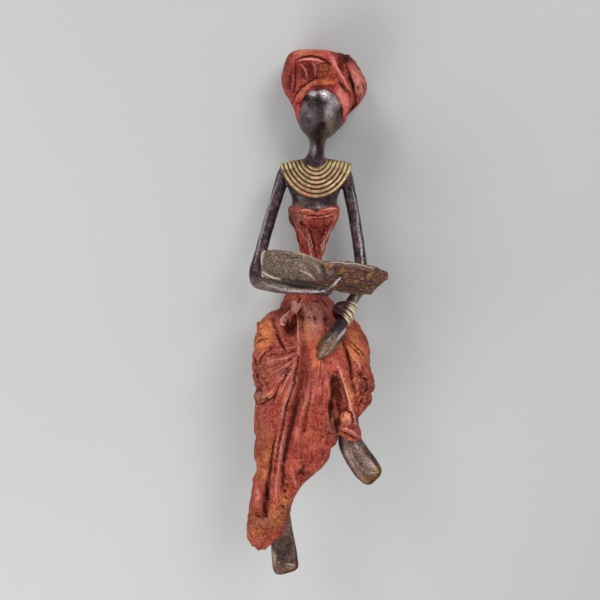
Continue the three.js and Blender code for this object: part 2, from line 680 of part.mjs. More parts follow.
const torsoHeights = [
  ...steps(12, 33, 4), ...steps(37, 62, 5), 66, 69, 71.5, 74, 76.4, 78.2, 78.8, 81, 86, 92, 96.5, 99,
];
const headHeights = [95, 98.6, 101.5, 104, 106.5, 109, 111, 114, 117.5, 121.5, 125, 129, 132.5, 136];
const turbanHeights = [113.5, 116, 119, ...steps(122, 145.3, 10), 146.7, 147.6];
const parts = [
  solid(loft(levels(TORSO, torsoHeights, 22, 2.2, BODICE_LINES))),
  solid(loft(levels(HEAD, headHeights, 16, 2))),
  solid(loft(levels(TURBAN, turbanHeights, 30, 2.2, TURBAN_LINES))),
  solid(loft(limb(HEADBAND, 20, 8, bandDepth))),
  collar(),
  skirt(),
  calf(),
  solid(loft(limb(RIGHT_ARM, 12, 8, X))),
  solid(loft(limb(LEFT_ARM, 12, 8, X))),
  solid(loft(limb(LEFT_HAND, 7, 9, handWidth))),
  solid(loft(limb(LEFT_THUMB, 4, 6, handWidth))),
  solid(loft(limb(RIGHT_PALM, 5, 10, palmWidth))),
  ...RIGHT_FINGERS.map((rows) => solid(loft(limb(rows, 5, 6, X)))),
  solid(loft(limb(RIGHT_FOOT, 10, 12, X))),
  solid(loft(limb(LEFT_FOOT, 10, 12, footWidth))),
  solid(loft(limb(HIP_KNOT, 6, 8, knotWidth))),
  book(),
  bracelets(),
];
let figure = parts[0];
for (const piece of parts.slice(1)) figure = figure.add(piece);

// Her underside and the backs of her legs are flat, and so are the spots that she lies on
figure = figure.subtract(block(120, 80, 120, 0, 40 + CALF_CLEARANCE, -60));
figure = figure.subtract(block(120, 20, 300, 0, BACK + 10, 40));

const mesh = figure.getMesh();
const geometry = new THREE.BufferGeometry();
geometry.setAttribute('position', new THREE.BufferAttribute(mesh.vertProperties, 3));
geometry.setIndex(new THREE.BufferAttribute(mesh.triVerts, 1));
geometry.computeVertexNormals();
geometry.computeBoundingBox();
const centre = geometry.boundingBox.getCenter(new THREE.Vector3());

const bronze = new THREE.MeshStandardMaterial({ color: 0x8c4034, roughness: 0.55, metalness: 0.35 });
const woman = new THREE.Mesh(geometry, bronze);
woman.name = 'reading_woman';
woman.rotation.x = -Math.PI / 2;
woman.position.set(-centre.x, -centre.z, BACK);

const part = new THREE.Group();
part.name = 'reading_woman_figure';
part.add(woman);

export default part;
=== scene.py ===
import math

import bpy
import numpy as np
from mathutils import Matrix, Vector


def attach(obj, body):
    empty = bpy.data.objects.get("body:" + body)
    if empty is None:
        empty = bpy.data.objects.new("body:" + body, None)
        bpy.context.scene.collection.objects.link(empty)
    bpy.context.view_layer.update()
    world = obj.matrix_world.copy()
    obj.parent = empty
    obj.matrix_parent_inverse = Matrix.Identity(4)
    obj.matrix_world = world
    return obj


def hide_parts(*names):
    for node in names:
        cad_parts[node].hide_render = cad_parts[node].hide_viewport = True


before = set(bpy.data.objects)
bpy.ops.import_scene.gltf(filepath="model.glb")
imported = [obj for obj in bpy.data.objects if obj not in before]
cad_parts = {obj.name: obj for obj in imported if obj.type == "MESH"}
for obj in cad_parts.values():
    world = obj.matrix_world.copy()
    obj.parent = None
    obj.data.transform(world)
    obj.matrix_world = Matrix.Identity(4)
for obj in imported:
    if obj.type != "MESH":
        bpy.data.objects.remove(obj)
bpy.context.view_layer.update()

# The woman is described in millimetres as she sits: x runs to her left, y to her back and z up. The flat
# underside of her thighs is z = 0. ORIGIN takes that to the frame, where she lies on her back.
ORIGIN = np.array([0.99256, -25.74253, 43.0])
FLOOR_BEHIND = 43.0  # y of the flats that she lies on
LEGS_BEHIND = 0.6  # y of the flat backs of her legs

# The photo's camera. FOCUS and MIDDLE are in the units of a picture PICTURE wide.
PITCH = math.radians(19)
EYE = np.array([-7.1, -327.0, 151.0])
PICTURE = 600
FOCUS = 750.0
MIDDLE = PICTURE / 2
SENSOR = 36


def to_frame(points):
    points = np.asarray(points, float)
    turned = np.stack([points[..., 0], points[..., 2], -points[..., 1]], axis=-1)
    return (turned + ORIGIN) / 1000


camera_data = bpy.data.cameras.new("camera")
camera_data.sensor_width = SENSOR
camera_data.lens = SENSOR * FOCUS / PICTURE
camera_data.clip_start = 0.01
camera = bpy.data.objects.new("camera", camera_data)
camera.location = to_frame(EYE)
camera.rotation_euler = (-PITCH, 0, 0)
bpy.context.collection.objects.link(camera)
bpy.context.scene.camera = camera


# Tables

def table(text):
    """Rows of numbers. What follows a # is a comment."""
    rows = (row.split("#")[0].split() for row in text.splitlines())
    return [[float(number) for number in row] for row in rows if row]


def strokes(text):
    """Lines as the camera sees them: strength, width, then points across and down its picture."""
    return [(row[0], row[1], *zip(row[2::2], row[3::2])) for row in table(text)]


def spots(text):
    """Soft patches by the layer that they colour: across, down, two radii, tilt and strength of each."""
    found = {}
    for name, *numbers in filter(None, map(str.split, text.splitlines())):
        numbers = [float(number) for number in numbers]
        found.setdefault(name, []).extend(numbers[i:i + 6] for i in range(0, len(numbers), 6))
    return found


# Numbers

def unit(vectors):
    return vectors / np.maximum(np.linalg.norm(vectors, axis=-1, keepdims=True), 1e-9)


def smoothstep(low, high, value):
    s = np.clip((value - low) / (high - low), 0, 1)
    return s * s * (3 - 2 * s)


def along(rows, t):
    """Columns of a table at t, on curves that don't overshoot between its rows."""
    rows = np.asarray(rows, float)
    rows = rows[np.argsort(rows[:, 0])]
    x, y = rows[:, 0], rows[:, 1:]
    width = np.diff(x)[:, None]
    rise = np.diff(y, axis=0) / width
    slope = np.empty_like(y)
    slope[0], slope[-1] = rise[0], rise[-1]
    both = rise[:-1] * rise[1:]
    total = np.where(both > 0, rise[:-1] + rise[1:], 1)
    slope[1:-1] = np.where(both > 0, 2 * both / total, 0)
    t = np.clip(np.atleast_1d(np.asarray(t, float)), x[0], x[-1])
    i = np.clip(np.searchsorted(x, t, side="right") - 1, 0, len(x) - 2)
    s = ((t - x[i]) / width[i, 0])[:, None]
    return (y[i] * (1 + 2 * s) * (1 - s) ** 2 + slope[i] * width[i] * s * (1 - s) ** 2
            + y[i + 1] * s * s * (3 - 2 * s) + slope[i + 1] * width[i] * s * s * (s - 1))


def numbered(rows):
    """A table whose first column counts its rows."""
    return np.column_stack([np.arange(len(rows)), np.asarray(rows, float)])


# Noise is laid out aslant, so that its grid never runs along the figure
ASLANT = np.array([[0.64, 0.48, 0.6], [-0.6, 0.8, 0], [-0.48, -0.36, 0.8]])
GRID = 32


def waves(points, size, seed):
    """Smooth noise from -1 to 1 with features about size across."""
    values = np.random.default_rng(seed).uniform(-1, 1, (GRID, GRID, GRID))
    place = np.asarray(points, float) @ ASLANT / size + 500.5
    cell = np.floor(place).astype(int)
    part = place - cell
    part = part * part * (3 - 2 * part)
    total = np.zeros(len(place))
    for corner_of_cell in np.ndindex(2, 2, 2):
        share = np.prod(np.where(corner_of_cell, part, 1 - part), axis=1)
        i, j, k = ((cell + corner_of_cell) % GRID).T
        total += share * values[i, j, k]
    return total


def crumple(points, size, seed):
    """Thin soft ridges with flatter ground between them, from 0 to 1."""
    return (1 - np.abs(waves(points, size, seed))) ** 3


def picture(points):
    """Where the photo's camera sees points: across and down its picture."""
    way = points - EYE
    depth = way[:, 1] * math.cos(PITCH) - way[:, 2] * math.sin(PITCH)
    up = way[:, 1] * math.sin(PITCH) + way[:, 2] * math.cos(PITCH)
    return np.stack([MIDDLE + FOCUS * way[:, 0] / depth, MIDDLE - FOCUS * up / depth], axis=1)


def wavering(points, size, seed, reach):
    """The same, shifted a little here and there, so that lines waver as a hand would draw them."""
    return picture(points) + np.stack([waves(points, size, seed), waves(points, size, seed + 1)], axis=1) * reach


def line_field(place, line):
    """Distance to a line of points and the share of the way along it."""
    line = np.asarray(line, float)
    if len(line) == 1:
        return np.linalg.norm(place - line[0], axis=1), np.full(len(place), 0.5)
    best = np.full(len(place), np.inf)
    share = np.zeros(len(place))
    for i in range(len(line) - 1):
        a, b = line[i], line[i + 1]
        s = np.clip(((place - a) @ (b - a)) / ((b - a) @ (b - a)), 0, 1)
        distance = np.linalg.norm(place - a - s[:, None] * (b - a), axis=1)
        nearer = distance < best
        best = np.where(nearer, distance, best)
        share = np.where(nearer, (i + s) / (len(line) - 1), share)
    return best, share


def near_line(place, weight, line, margin):
    """The points that a line reaches, their distance to it and how far along it they lie."""
    low, high = np.min(line, axis=0) - margin, np.max(line, axis=0) + margin
    near = np.flatnonzero(((place > low) & (place < high)).all(1) & (weight > 0))
    return near, *line_field(place[near], line)


# Shells

def turns(count):
    return np.arange(count) * 2 * math.pi / count


def corner(angle, power):
    """A rounded square that grows squarer with power; 2 is a circle."""
    c, s = np.cos(angle), np.sin(angle)
    power = np.asarray(power, float)
    return np.sign(c) * np.abs(c) ** (2 / power), np.sign(s) * np.abs(s) ** (2 / power)


def loft(rings, closed=False):
    """Points and faces through rings, joined end to end or closed by a fan at both ends."""
    rings = np.asarray(rings, float)
    count, sides = rings.shape[:2]
    points = rings.reshape(-1, 3)
    j = np.arange(sides)
    k = (j + 1) % sides
    faces = []
    for i in range(count if closed else count - 1):
        a, b = i * sides, ((i + 1) % count) * sides
        faces += np.stack([a + j, a + k, b + k, b + j], axis=1).tolist()
    if not closed:
        start, end = len(points), len(points) + 1
        points = np.vstack([points, rings[0].mean(0), rings[-1].mean(0)])
        top = (count - 1) * sides
        faces += np.stack([np.full(sides, start), k, j], axis=1).tolist()
        faces += np.stack([np.full(sides, end), top + j, top + k], axis=1).tolist()
    middle = points.mean(0)
    volume = 0
    for face in faces:
        a, b, c = points[face[0]] - middle, points[face[1]] - middle, points[face[2]] - middle
        volume += a @ np.cross(b, c)
        if len(face) == 4:
            volume += a @ np.cross(c, points[face[3]] - middle)
    if volume < 0:
        faces = [face[::-1] for face in faces]
    return points, faces


def levels(rows, heights, sides, power):
    """Level rings from rows of a height and the right, left, front and back there."""
    heights = np.asarray(heights, float)
    right, left, front, back = along(rows, heights).T
    u, v = corner(turns(sides), power)
    x = (left + right)[:, None] / 2 + (left - right)[:, None] / 2 * u
    y = (front + back)[:, None] / 2 + (back - front)[:, None] / 2 * v
    z = np.broadcast_to(heights[:, None], x.shape)
    return np.stack([x, y, z], axis=-1)


def limb(rows, count, sides, wide):
    """Rings through rows of a middle, half a width and half a thickness."""
    rows = numbered(rows)
    last = len(rows) - 1
    t = np.linspace(0, last, count)
    middle, half = along(rows, t)[:, :3], along(rows, t)[:, 3:]
    way = unit(along(rows, np.minimum(t + 0.2, last))[:, :3] - along(rows, np.maximum(t - 0.2, 0))[:, :3])
    wide = np.asarray(wide, float)
    across = unit(wide - way * (way @ wide)[:, None])
    up = np.cross(way, across)
    c, s = np.cos(turns(sides)), np.sin(turns(sides))
    return (middle[:, None] + across[:, None] * (half[:, :1] * c)[..., None]
            + up[:, None] * (half[:, 1:] * s)[..., None])


def built(name, shells):
    points, faces = [], []
    shift = 0
    for shell_points, shell_faces in shells:
        points.append(shell_points)
        faces += [[n + shift for n in face] for face in shell_faces]
        shift += len(shell_points)
    mesh = bpy.data.meshes.new(name)
    mesh.from_pydata(np.vstack(points).tolist(), [], faces)
    mesh.update()
    piece = bpy.data.objects.new(name, mesh)
    bpy.context.collection.objects.link(piece)
    return piece


def fused(name, shells, voxel):
    """One closed mesh around shells that overlap, in squares about a voxel across."""
    piece = built(name, shells)
    modifier = piece.modifiers.new("fused", "REMESH")
    modifier.mode = "VOXEL"
    modifier.voxel_size = voxel
    modifier.adaptivity = 0
    made = bpy.data.meshes.new_from_object(piece.evaluated_get(bpy.context.evaluated_depsgraph_get()))
    piece.modifiers.clear()
    plain = piece.data
    piece.data = made
    bpy.data.meshes.remove(plain)
    made.name = name
    return piece


class Surface:
    """The points, normals and edges of a piece's mesh, while it is being shaped in millimetres."""

    def __init__(self, piece):
        self.piece = piece
        self.mesh = piece.data
        self.count = len(self.mesh.vertices)
        flat = np.empty(self.count * 3)
        self.mesh.vertices.foreach_get("co", flat)
        self.points = flat.reshape(-1, 3)
        edges = np.empty(len(self.mesh.edges) * 2, int)
        self.mesh.edges.foreach_get("vertices", edges)
        self.a, self.b = edges.reshape(-1, 2).T
        self.degree = np.bincount(self.a, minlength=self.count) + np.bincount(self.b, minlength=self.count)

    def near(self, values):
        """The mean of each point's neighbours."""
        columns = []
        for column in values.T:
            total = np.bincount(self.a, column[self.b], self.count) + np.bincount(self.b, column[self.a], self.count)
            columns.append(total / np.maximum(self.degree, 1))
        return np.stack(columns, axis=1)

    def relax(self, rounds):
        """Smooths without shrinking."""
        for _ in range(rounds):
            for share in (0.5, -0.52):
                self.points = self.points + share * (self.near(self.points) - self.points)

    def normals(self):
        self.mesh.vertices.foreach_set("co", self.points.ravel())
        self.mesh.update()
        flat = np.empty(self.count * 3)
        self.mesh.vertices.foreach_get("normal", flat)
        return flat.reshape(-1, 3)

    def push(self, distance):
        self.points = self.points + self.normals() * distance[:, None]

    def waves(self, size, seed):
        return waves(self.points, size, seed)

    def seen(self):
        """How squarely the surface faces the photo's camera, from -1 to 1."""
        return (unit(EYE - self.points) * self.normals()).sum(1)

    def hollow(self, rounds):
        """How deep each point lies in a hollow (above 0) or stands out (below 0)."""
        mean = self.points
        for _ in range(rounds):
            mean = mean + 0.5 * (self.near(mean) - mean)
        return ((mean - self.points) * self.normals()).sum(1)

    def level_off(self):
        """Keeps her flat underside, the flat backs of her legs and the flats that she lies on."""
        x, y, z = self.points.T
        z[(y > LEGS_BEHIND) & (z < 0) & (z > -4)] = 0
        y[(z < 0) & (y > LEGS_BEHIND)] = LEGS_BEHIND
        y[y > FLOOR_BEHIND] = FLOOR_BEHIND
        self.points = np.stack([x, y, z], axis=1)

    def carve(self, folds, aside=-0.1, turn=0.35):
        """How far folds push points outwards in mm, and how dark and how bright they leave them."""
        place = wavering(self.points, 5, 61, 0.8)
        weight = smoothstep(aside, turn, self.seen())
        push, dark, bright = np.zeros((3, self.count))
        for depth, width, *line in folds:
            near, distance, share = near_line(place, weight, line, 3 * width)
            fade = np.sin(np.pi * np.clip(share, 0.04, 0.96)) ** 0.45
            push[near] += depth * (np.exp(-((distance / width) ** 2)) * fade) * weight[near]
            edge = np.exp(-((distance / (0.8 * width + 0.5)) ** 2)) * fade * min(1, abs(depth) / 1.3)
            tone = dark if depth < 0 else bright
            tone[near] = np.maximum(tone[near], edge * weight[near])
        return push, dark, bright

    def drawn(self, lines):
        """Thin lines of colour with crisp edges, of a strength and half width."""
        place = wavering(self.points, 3, 63, 0.7)
        weight = smoothstep(-0.1, 0.3, self.seen())
        total = np.zeros(self.count)
        for strength, width, *line in lines:
            near, distance, share = near_line(place, weight, line, 2 * width)
            thin = width * np.sin(np.pi * np.clip(share, 0.06, 0.94)) ** 0.5
            mark = smoothstep(1.25, 0.55, distance / thin)
            total[near] = np.maximum(total[near], strength * mark * weight[near])
        return total

    def patches(self, spots_by_layer):
        """Each layer's soft patches of colour."""
        around = wavering(self.points, 4, 71, 2.5)
        weight = smoothstep(-0.2, 0.3, self.seen())
        layers = {}
        for name, rows in spots_by_layer.items():
            total = np.zeros(self.count)
            for x, y, wide, tall, tilt, strength in rows:
                c, s = math.cos(math.radians(tilt)), math.sin(math.radians(tilt))
                way = around - (x, y)
                u = (way[:, 0] * c + way[:, 1] * s) / wide
                v = (way[:, 1] * c - way[:, 0] * s) / tall
                total = np.maximum(total, strength * np.exp(-((u * u + v * v) ** 1.5)) * weight)
            layers[name] = total
        return layers

    def paint(self, **layers):
        """Keeps layers on the mesh, where the materials read them. Those for tone stay between 0 and 1."""
        for name, values in layers.items():
            if name in ("dark", "shade", "bright"):
                values = np.clip(values, 0, 1)
            layer = self.mesh.attributes.new(name, "FLOAT", "POINT")
            layer.data.foreach_set("value", np.asarray(values, np.float32))

    def lie(self, values):
        """Keeps the cloth's own places in mm, along which its strands run."""
        layer = self.mesh.attributes.new("lie", "FLOAT_VECTOR", "POINT")
        layer.data.foreach_set("vector", np.ascontiguousarray(values, np.float32).ravel())

    def finish(self, material):
        self.mesh.vertices.foreach_set("co", to_frame(self.points).ravel())
        self.mesh.shade_smooth()
        self.mesh.update()
        self.mesh.materials.clear()
        self.mesh.materials.append(material)
        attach(self.piece, "root")
        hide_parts("reading_woman")


# Materials

def colour(code):
    """A screen colour such as a04a3f as the shader's numbers."""
    parts = [int(code[i:i + 2], 16) / 255 for i in (0, 2, 4)]
    return [p / 12.92 if p <= 0.04045 else ((p + 0.055) / 1.055) ** 2.4 for p in parts] + [1]


class Finish:
    """A procedural material and the few nodes that it is mixed from."""

    def __init__(self, name):
        self.material = bpy.data.materials.new(name)
        self.material.use_nodes = True
        self.tree = self.material.node_tree
        self.shader = self.tree.nodes["Principled BSDF"]
        self.place = self.tree.nodes.new("ShaderNodeTexCoord").outputs["Object"]

    def put(self, socket, value):
        if isinstance(value, bpy.types.NodeSocket):
            self.tree.links.new(value, socket)
        else:
            socket.default_value = value

    def node(self, kind, **inputs):
        node = self.tree.nodes.new("ShaderNode" + kind)
        for name, value in inputs.items():
            self.put(node.inputs[name.replace("_", " ")], value)
        return node

    def noise(self, size_mm, detail=3, rough=0.55, stretch=None, twist=0.0):
        place = self.place
        if stretch:
            place = self.node("Mapping", Vector=place, Scale=stretch).outputs[0]
        return self.node("TexNoise", Vector=place, Scale=1000 / size_mm, Detail=detail, Roughness=rough,
                         Distortion=twist).outputs[0]

    def strand(self, size_mm, detail, rough):
        """Noise drawn out along the cloth, in the places kept in the layer called lie (in mm)."""
        lie = self.node("Attribute")
        lie.attribute_name = "lie"
        return self.node("TexNoise", Vector=lie.outputs["Vector"], Scale=1 / size_mm, Detail=detail,
                         Roughness=rough, Distortion=0.5).outputs[0]

    def layer(self, name):
        node = self.node("Attribute")
        node.attribute_name = name
        return node.outputs["Fac"]

    def ragged(self, name, noise, amount, hardness):
        """A layer whose soft edges are partly broken up by noise."""
        plain = self.layer(name)
        frayed = self.maths("ADD", plain, self.times(self.maths("SUBTRACT", noise, 0.5), amount))
        hard = self.ramp(frayed, 0.34, 0.6, 0, hardness)
        return self.maths("ADD", self.times(plain, 1 - hardness), hard, clamp=True)

    def ramp(self, value, low, high, out_low=0.0, out_high=1.0):
        node = self.node("MapRange", Value=value, From_Min=low, From_Max=high, To_Min=out_low, To_Max=out_high)
        node.interpolation_type = "SMOOTHSTEP"
        return node.outputs["Result"]

    def maths(self, kind, a, b, clamp=False):
        node = self.node("Math")
        node.operation = kind
        node.use_clamp = clamp
        self.put(node.inputs[0], a)
        self.put(node.inputs[1], b)
        return node.outputs[0]

    def times(self, a, b):
        return self.maths("MULTIPLY", a, b)

    def mix(self, share, a, b):
        node = self.node("Mix")
        node.data_type = "RGBA"
        for slot, value in ((0, share), (6, a), (7, b)):
            self.put(node.inputs[slot], value)
        return node.outputs[2]

    def blend(self, noise, low, high, first, second):
        return self.mix(self.ramp(noise, low, high), colour(first), colour(second))

    def coats(self, base, *coats):
        """Colours over one another: code, noise, where it starts and is full, its least and most, its layer."""
        for code, noise, low, high, least, most, *layer in coats:
            share = self.ramp(noise, low, high, least, most)
            if layer:
                share = self.times(self.layer(layer[0]) if isinstance(layer[0], str) else layer[0], share)
            base = self.mix(share, base, colour(code))
        return base

    def bump(self, *heights):
        """Small reliefs on top of one another: each a value, and its height in mm."""
        below = None
        for value, height in heights:
            node = self.node("Bump", Strength=1, Distance=height / 1000, Height=value)
            if below is not None:
                self.put(node.inputs["Normal"], below)
            below = node.outputs["Normal"]
        self.put(self.shader.inputs["Normal"], below)

    def surface(self, base, rough, metal=0.0, gloss=0.5):
        self.put(self.shader.inputs["Base Color"], base)
        self.put(self.shader.inputs["Roughness"], rough)
        self.put(self.shader.inputs["Metallic"], metal)
        self.put(self.shader.inputs["Specular IOR Level"], gloss)
        return self.material


def red_patina(name, dim, light, rosy, proud):
    f = Finish(name)
    broad = f.noise(12, 3)
    blotch = f.noise(3.4, 4, 0.62, twist=0.6)
    speck = f.noise(1.05, 3, 0.7)
    fleck = f.noise(0.8, 2, 0.6, twist=1.4)
    grain = f.noise(0.45, 2)
    strand = f.strand(1.0, 3, 0.65)
    coarse = f.layer("coarse")
    lively = f.maths("ADD", f.times(coarse, 0.5), 0.4, clamp=True)
    base = f.coats(
        f.blend(broad, 0.38, 0.62, dim, light),
        (rosy, blotch, 0.52, 0.68, 0, 0.5),
        ("691c13", blotch, 0.47, 0.33, 0, 0.7),
        ("e68c52", blotch, 0.3, 0.55, 0.35, 1, "warm"),
        ("8a581a", speck, 0.38, 0.58, 0.1, 1, "ochre"),
        ("6c4c48", speck, 0.36, 0.58, 0.35, 1, "bare"),
        ("661d14", strand, 0.47, 0.37, 0, 0.6),
        ("cc7a66", strand, 0.54, 0.66, 0, 0.35),
        ("da8465", speck, 0.56, 0.66, 0, 1, lively),
        ("4a0f09", speck, 0.46, 0.36, 0, 1, lively),
        ("cf8040", fleck, 0.56, 0.66, 0, 1, coarse),
        ("2c0904", fleck, 0.47, 0.39, 0, 1, coarse),
        ("4f130d", speck, 0.3, 0.66, 1, 0.8, "shade"))
    # shade above is painted shade in folds, hollows and under the book, with a darker tone on some smooth panels;
    # bright lightens ridges and edges, partly worn, partly painted highlight
    base = f.mix(f.ragged("bright", speck, 0.9, 0.35), base, colour(proud))
    base = f.mix(f.ragged("dark", speck, -0.9, 0.55), base, colour("300805"))
    f.bump((grain, 0.12), (speck, 0.35), (strand, 0.35), (f.times(coarse, fleck), 0.7))
    return f.surface(base, f.ramp(speck, 0.3, 0.7, 0.66, 0.52), 0.0, 0.08)


def dark_bronze():
    f = Finish("dark_bronze")
    broad = f.noise(9, 3)
    blotch = f.noise(2.6, 4, 0.6)
    speck = f.noise(0.85, 3, 0.7)
    warm = f.layer("warm")
    base = f.mix(warm, f.blend(broad, 0.36, 0.64, "2b1a1d", "4b3538"), f.blend(broad, 0.36, 0.64, "331812", "563528"))
    light = f.mix(warm, colour("7c696f"), colour("6a4a3a"))
    base = f.mix(f.ramp(blotch, 0.52, 0.7, 0, 0.6), base, light)
    base = f.coats(base, ("1d1112", blotch, 0.47, 0.34, 0, 0.75), ("957d75", speck, 0.57, 0.68, 0, 0.5))
    # lighter brown on rubbed places, partly painted highlight where the forearm, hand and feet face the light
    base = f.mix(f.layer("worn"), base, f.blend(speck, 0.36, 0.6, "5e4a40", "a89078"))
    base = f.coats(
        base,
        ("6d4a1a", speck, 0.32, 0.55, 0.3, 1, "ochre"),
        # pale is painted highlight on the forehead, face, neck, arms and hands, and painted glints on the feet
        ("d8cfd0", speck, 0.4, 0.54, 0.35, 1, "pale"),
        # dark is the hollows, with painted shade under the turban, chin, collar and book, at the wrist, between the
        # fingers and on the feet, and a painted dark reflection down the face
        ("120909", speck, 0.3, 0.7, 1, 0.75, "dark"))
    f.bump((speck, 0.16), (blotch, 0.25))
    return f.surface(base, f.ramp(blotch, 0.3, 0.7, 0.22, 0.38), 0.45, 0.5)


def bare_gold():
    f = Finish("bare_gold")
    blotch = f.noise(3.2, 4, 0.6)
    speck = f.noise(0.75, 3, 0.7)
    groove = f.layer("dark")
    base = f.coats(
        f.blend(blotch, 0.38, 0.62, "80603f", "ac8e66"),
        # reddish-brown patches of the gold's own colour
        ("a8654c", blotch, 0.35, 0.6, 0.3, 1, "worn"),
        # pale is painted highlight on the top of the collar
        ("fbe8a2", speck, 0.36, 0.56, 0.4, 1, "pale"),
        ("d8bf8c", speck, 0.56, 0.68, 0, 0.45),
        ("6d4a2b", speck, 0.45, 0.34, 0, 0.6))
    base = f.mix(groove, base, colour("1a0e08"))
    f.bump((speck, 0.1), (blotch, 0.12))
    return f.surface(base, f.ramp(speck, 0.3, 0.7, 0.46, 0.34), f.ramp(groove, 0.1, 0.6, 0.6, 0.1))


def wire_with_painted_light():
    f = Finish("wire_with_painted_light")
    blotch = f.noise(2.2, 3, 0.6)
    speck = f.noise(0.6, 3, 0.7)
    # the ivory is painted highlight on the side of each ring that faces one way, set in bracelets()
    base = f.coats(f.blend(blotch, 0.36, 0.62, "331214", "6b2522"), ("efe0bd", speck, 0.34, 0.5, 0.4, 1, "worn"))
    # dark is painted shade on the other side of each ring
    base = f.mix(f.layer("dark"), base, colour("180b0a"))
    f.bump((speck, 0.08))
    return f.surface(base, 0.45, 0.25)


def book_bronze():
    f = Finish("book_bronze")
    blotch = f.noise(4, 4, 0.6)
    speck = f.noise(0.75, 3, 0.7)
    streak = f.noise(1.0, 3, 0.65, stretch=(0.34, 1, 1), twist=0.7)
    curl = f.noise(1.25, 2, 0.5, twist=2.2)
    base = f.coats(
        f.blend(blotch, 0.38, 0.62, "4d3b30", "6a5445"),
        ("988470", curl, 0.54, 0.6, 0, 0.7),
        ("31211a", curl, 0.48, 0.4, 0, 0.8))
    warm = f.coats(
        f.blend(blotch, 0.38, 0.62, "472620", "6e3e2a"),
        ("b0894a", streak, 0.56, 0.66, 0, 0.7),
        ("2e1a14", streak, 0.47, 0.38, 0, 1))
    base = f.coats(
        f.mix(f.layer("ochre"), base, warm),
        ("b9a58a", speck, 0.57, 0.68, 0, 0.5),
        ("2a1a14", speck, 0.44, 0.34, 0, 0.6))
    # bright is painted highlight along the book's edges
    base = f.mix(f.layer("bright"), base, colour("cdbfae"))
    # dark is painted shade, with the hollows and the lines of the pages
    base = f.coats(base, ("160c0b", speck, 0.3, 0.7, 1, 0.8, "dark"))
    f.bump((speck, 0.16), (streak, 0.2), (f.times(f.layer("pitted"), curl), 0.45))
    return f.surface(base, f.ramp(speck, 0.3, 0.7, 0.6, 0.42), 0.15, 0.4)


# Turban. A row of a level ring gives its height, right, left, front and back; a row of a limb, here the headband,
# its middle, half width and half thickness.

TURBAN = table("""
113.5 -3 9 17 28
116 -6.8 11.6 13 34
119 -8.6 14 11.6 38
122 -9.8 17.6 10.6 40.5
126 -12 21 9.6 43
130.5 -14.6 23 7.4 44
133 -15.2 22.8 5.4 44
136 -15.2 21.4 3.2 43.8
139 -14.6 19.8 2.6 43
143 -13.4 17.6 3.6 41.4
145.3 -12.2 13.4 5.8 38.6
146.7 -10.8 8.6 9 35
147.6 -7.6 2.6 13.6 30
""")
HEADBAND = table("""
-6.3 15.4 115.4 1.2 0.5
-7.3 14 118.8 1.5 0.9
-7.8 12 122.6 1.8 1.2
-7.7 10 126.6 2 1.5
-6.2 7.6 130.2 2 1.8
-3.5 5.6 133.1 2 2
0.3 4.4 134.6 2 2.2
4.8 4.4 134.2 2 2.3
8.7 5.8 132.1 2 2.4
11.6 8.4 128.8 2 2.4
12.9 11 124.8 2 2.1
12.6 13.2 121 2 1.5
11.5 15 117.9 1.6 1
10.3 16.6 115.4 1.2 0.5
""")
TURBAN_FOLDS = strokes("""
# roll along the top and the panel under it
0.6 2.6 294 55 303 52.5 315 51 326 52
-0.9 1.7 296 59 303 57 312 56 320 57 327 61 332 67
0.3 1 298 61 304 59.5 312 59
-0.8 1.6 295.5 59 295 70 295 82 293.5 94
-0.9 2.8 291 66 290 78 289.5 90
0.7 2.6 285 60 283 72 283.5 86
-0.5 1.6 281 86 285 94 289 101
# crease over the band
-1.2 1.5 293 103 295 97 298 92 303 86 309 81 317 77.5
# ridge that runs down to her left and the hollow behind it
1.2 2.1 328 52 333 60 338 70 345 82 351 92
0.5 1.1 331 63 337 72 344 82
-1.2 3.2 342 62 344 68
-1.6 2.6 338 62 343 69
-2 2.2 347 67 350 74 353 84 355 95 355.5 103
-1.7 1.7 356 102 352 108 348 115
0.9 4 352 70 358 80 361 92
-0.6 1.6 354 62 358 68 360 74
-0.5 1.6 359 84 357 92 359 98
-0.8 1.3 338 81 342 86 347 93
0.8 2.4 346 96 348 104 344 114
# curled lines in the panel
-0.35 1.1 299 66 303 72 302 79
0.3 1.1 301 64 306 70 306 78
-0.35 1.1 309 62 311 69 310 75
0.3 1.1 313 62 316 69 316 75
-0.4 1.2 318 66 323 72 329 77
""")
# Dents of the outline go on round the side, to where it faces the camera this little
ROUND_THE_SIDE = (-0.9, -0.4)
TURBAN_EDGE = strokes("""
0.9 2.6 347 56 349 58
-0.8 3.2 357 60 362 66
0.4 3 363 76 364 80
""")
# Dark creases. The wide mark at the top right makes the hollow there near black: painted shade.
TURBAN_DARK = strokes("""
0.9 1.1 295 60 303 57 312 56 320 57.5 327 61 332 67
0.8 1 295.5 60 295 72 295 84 293 96
0.7 1.1 291.5 66 290.5 78 290 88
0.6 0.7 331 60 336 69 342 79
0.9 1.1 293 102 296 95 300 89 306 83 313 79 319 77.5
0.9 3.4 342 54 346 58 347 62
0.5 2 341 64 344 71
0.9 1.3 346 64 350 74 353 84 355 95 355.5 103
0.95 1.3 356 103 352 108 348 115
0.9 0.9 339 82 343 87 347 93
0.5 1.6 321 63 327 62.5 331 66
0.6 0.8 299 65 303 72 302 80
0.6 0.8 309 62 311 69 310 76
0.7 1 356 64 360 71
0.7 1 362 83 365 90
0.7 1.1 358 86 359 90
0.6 0.8 354 74 357 79
0.6 0.8 361 94 358 101
0.5 0.8 350 100 351 105
0.5 1 352 60 356 66
0.6 1.4 288 53 284 60
0.7 1.2 284 92 290 103
""")
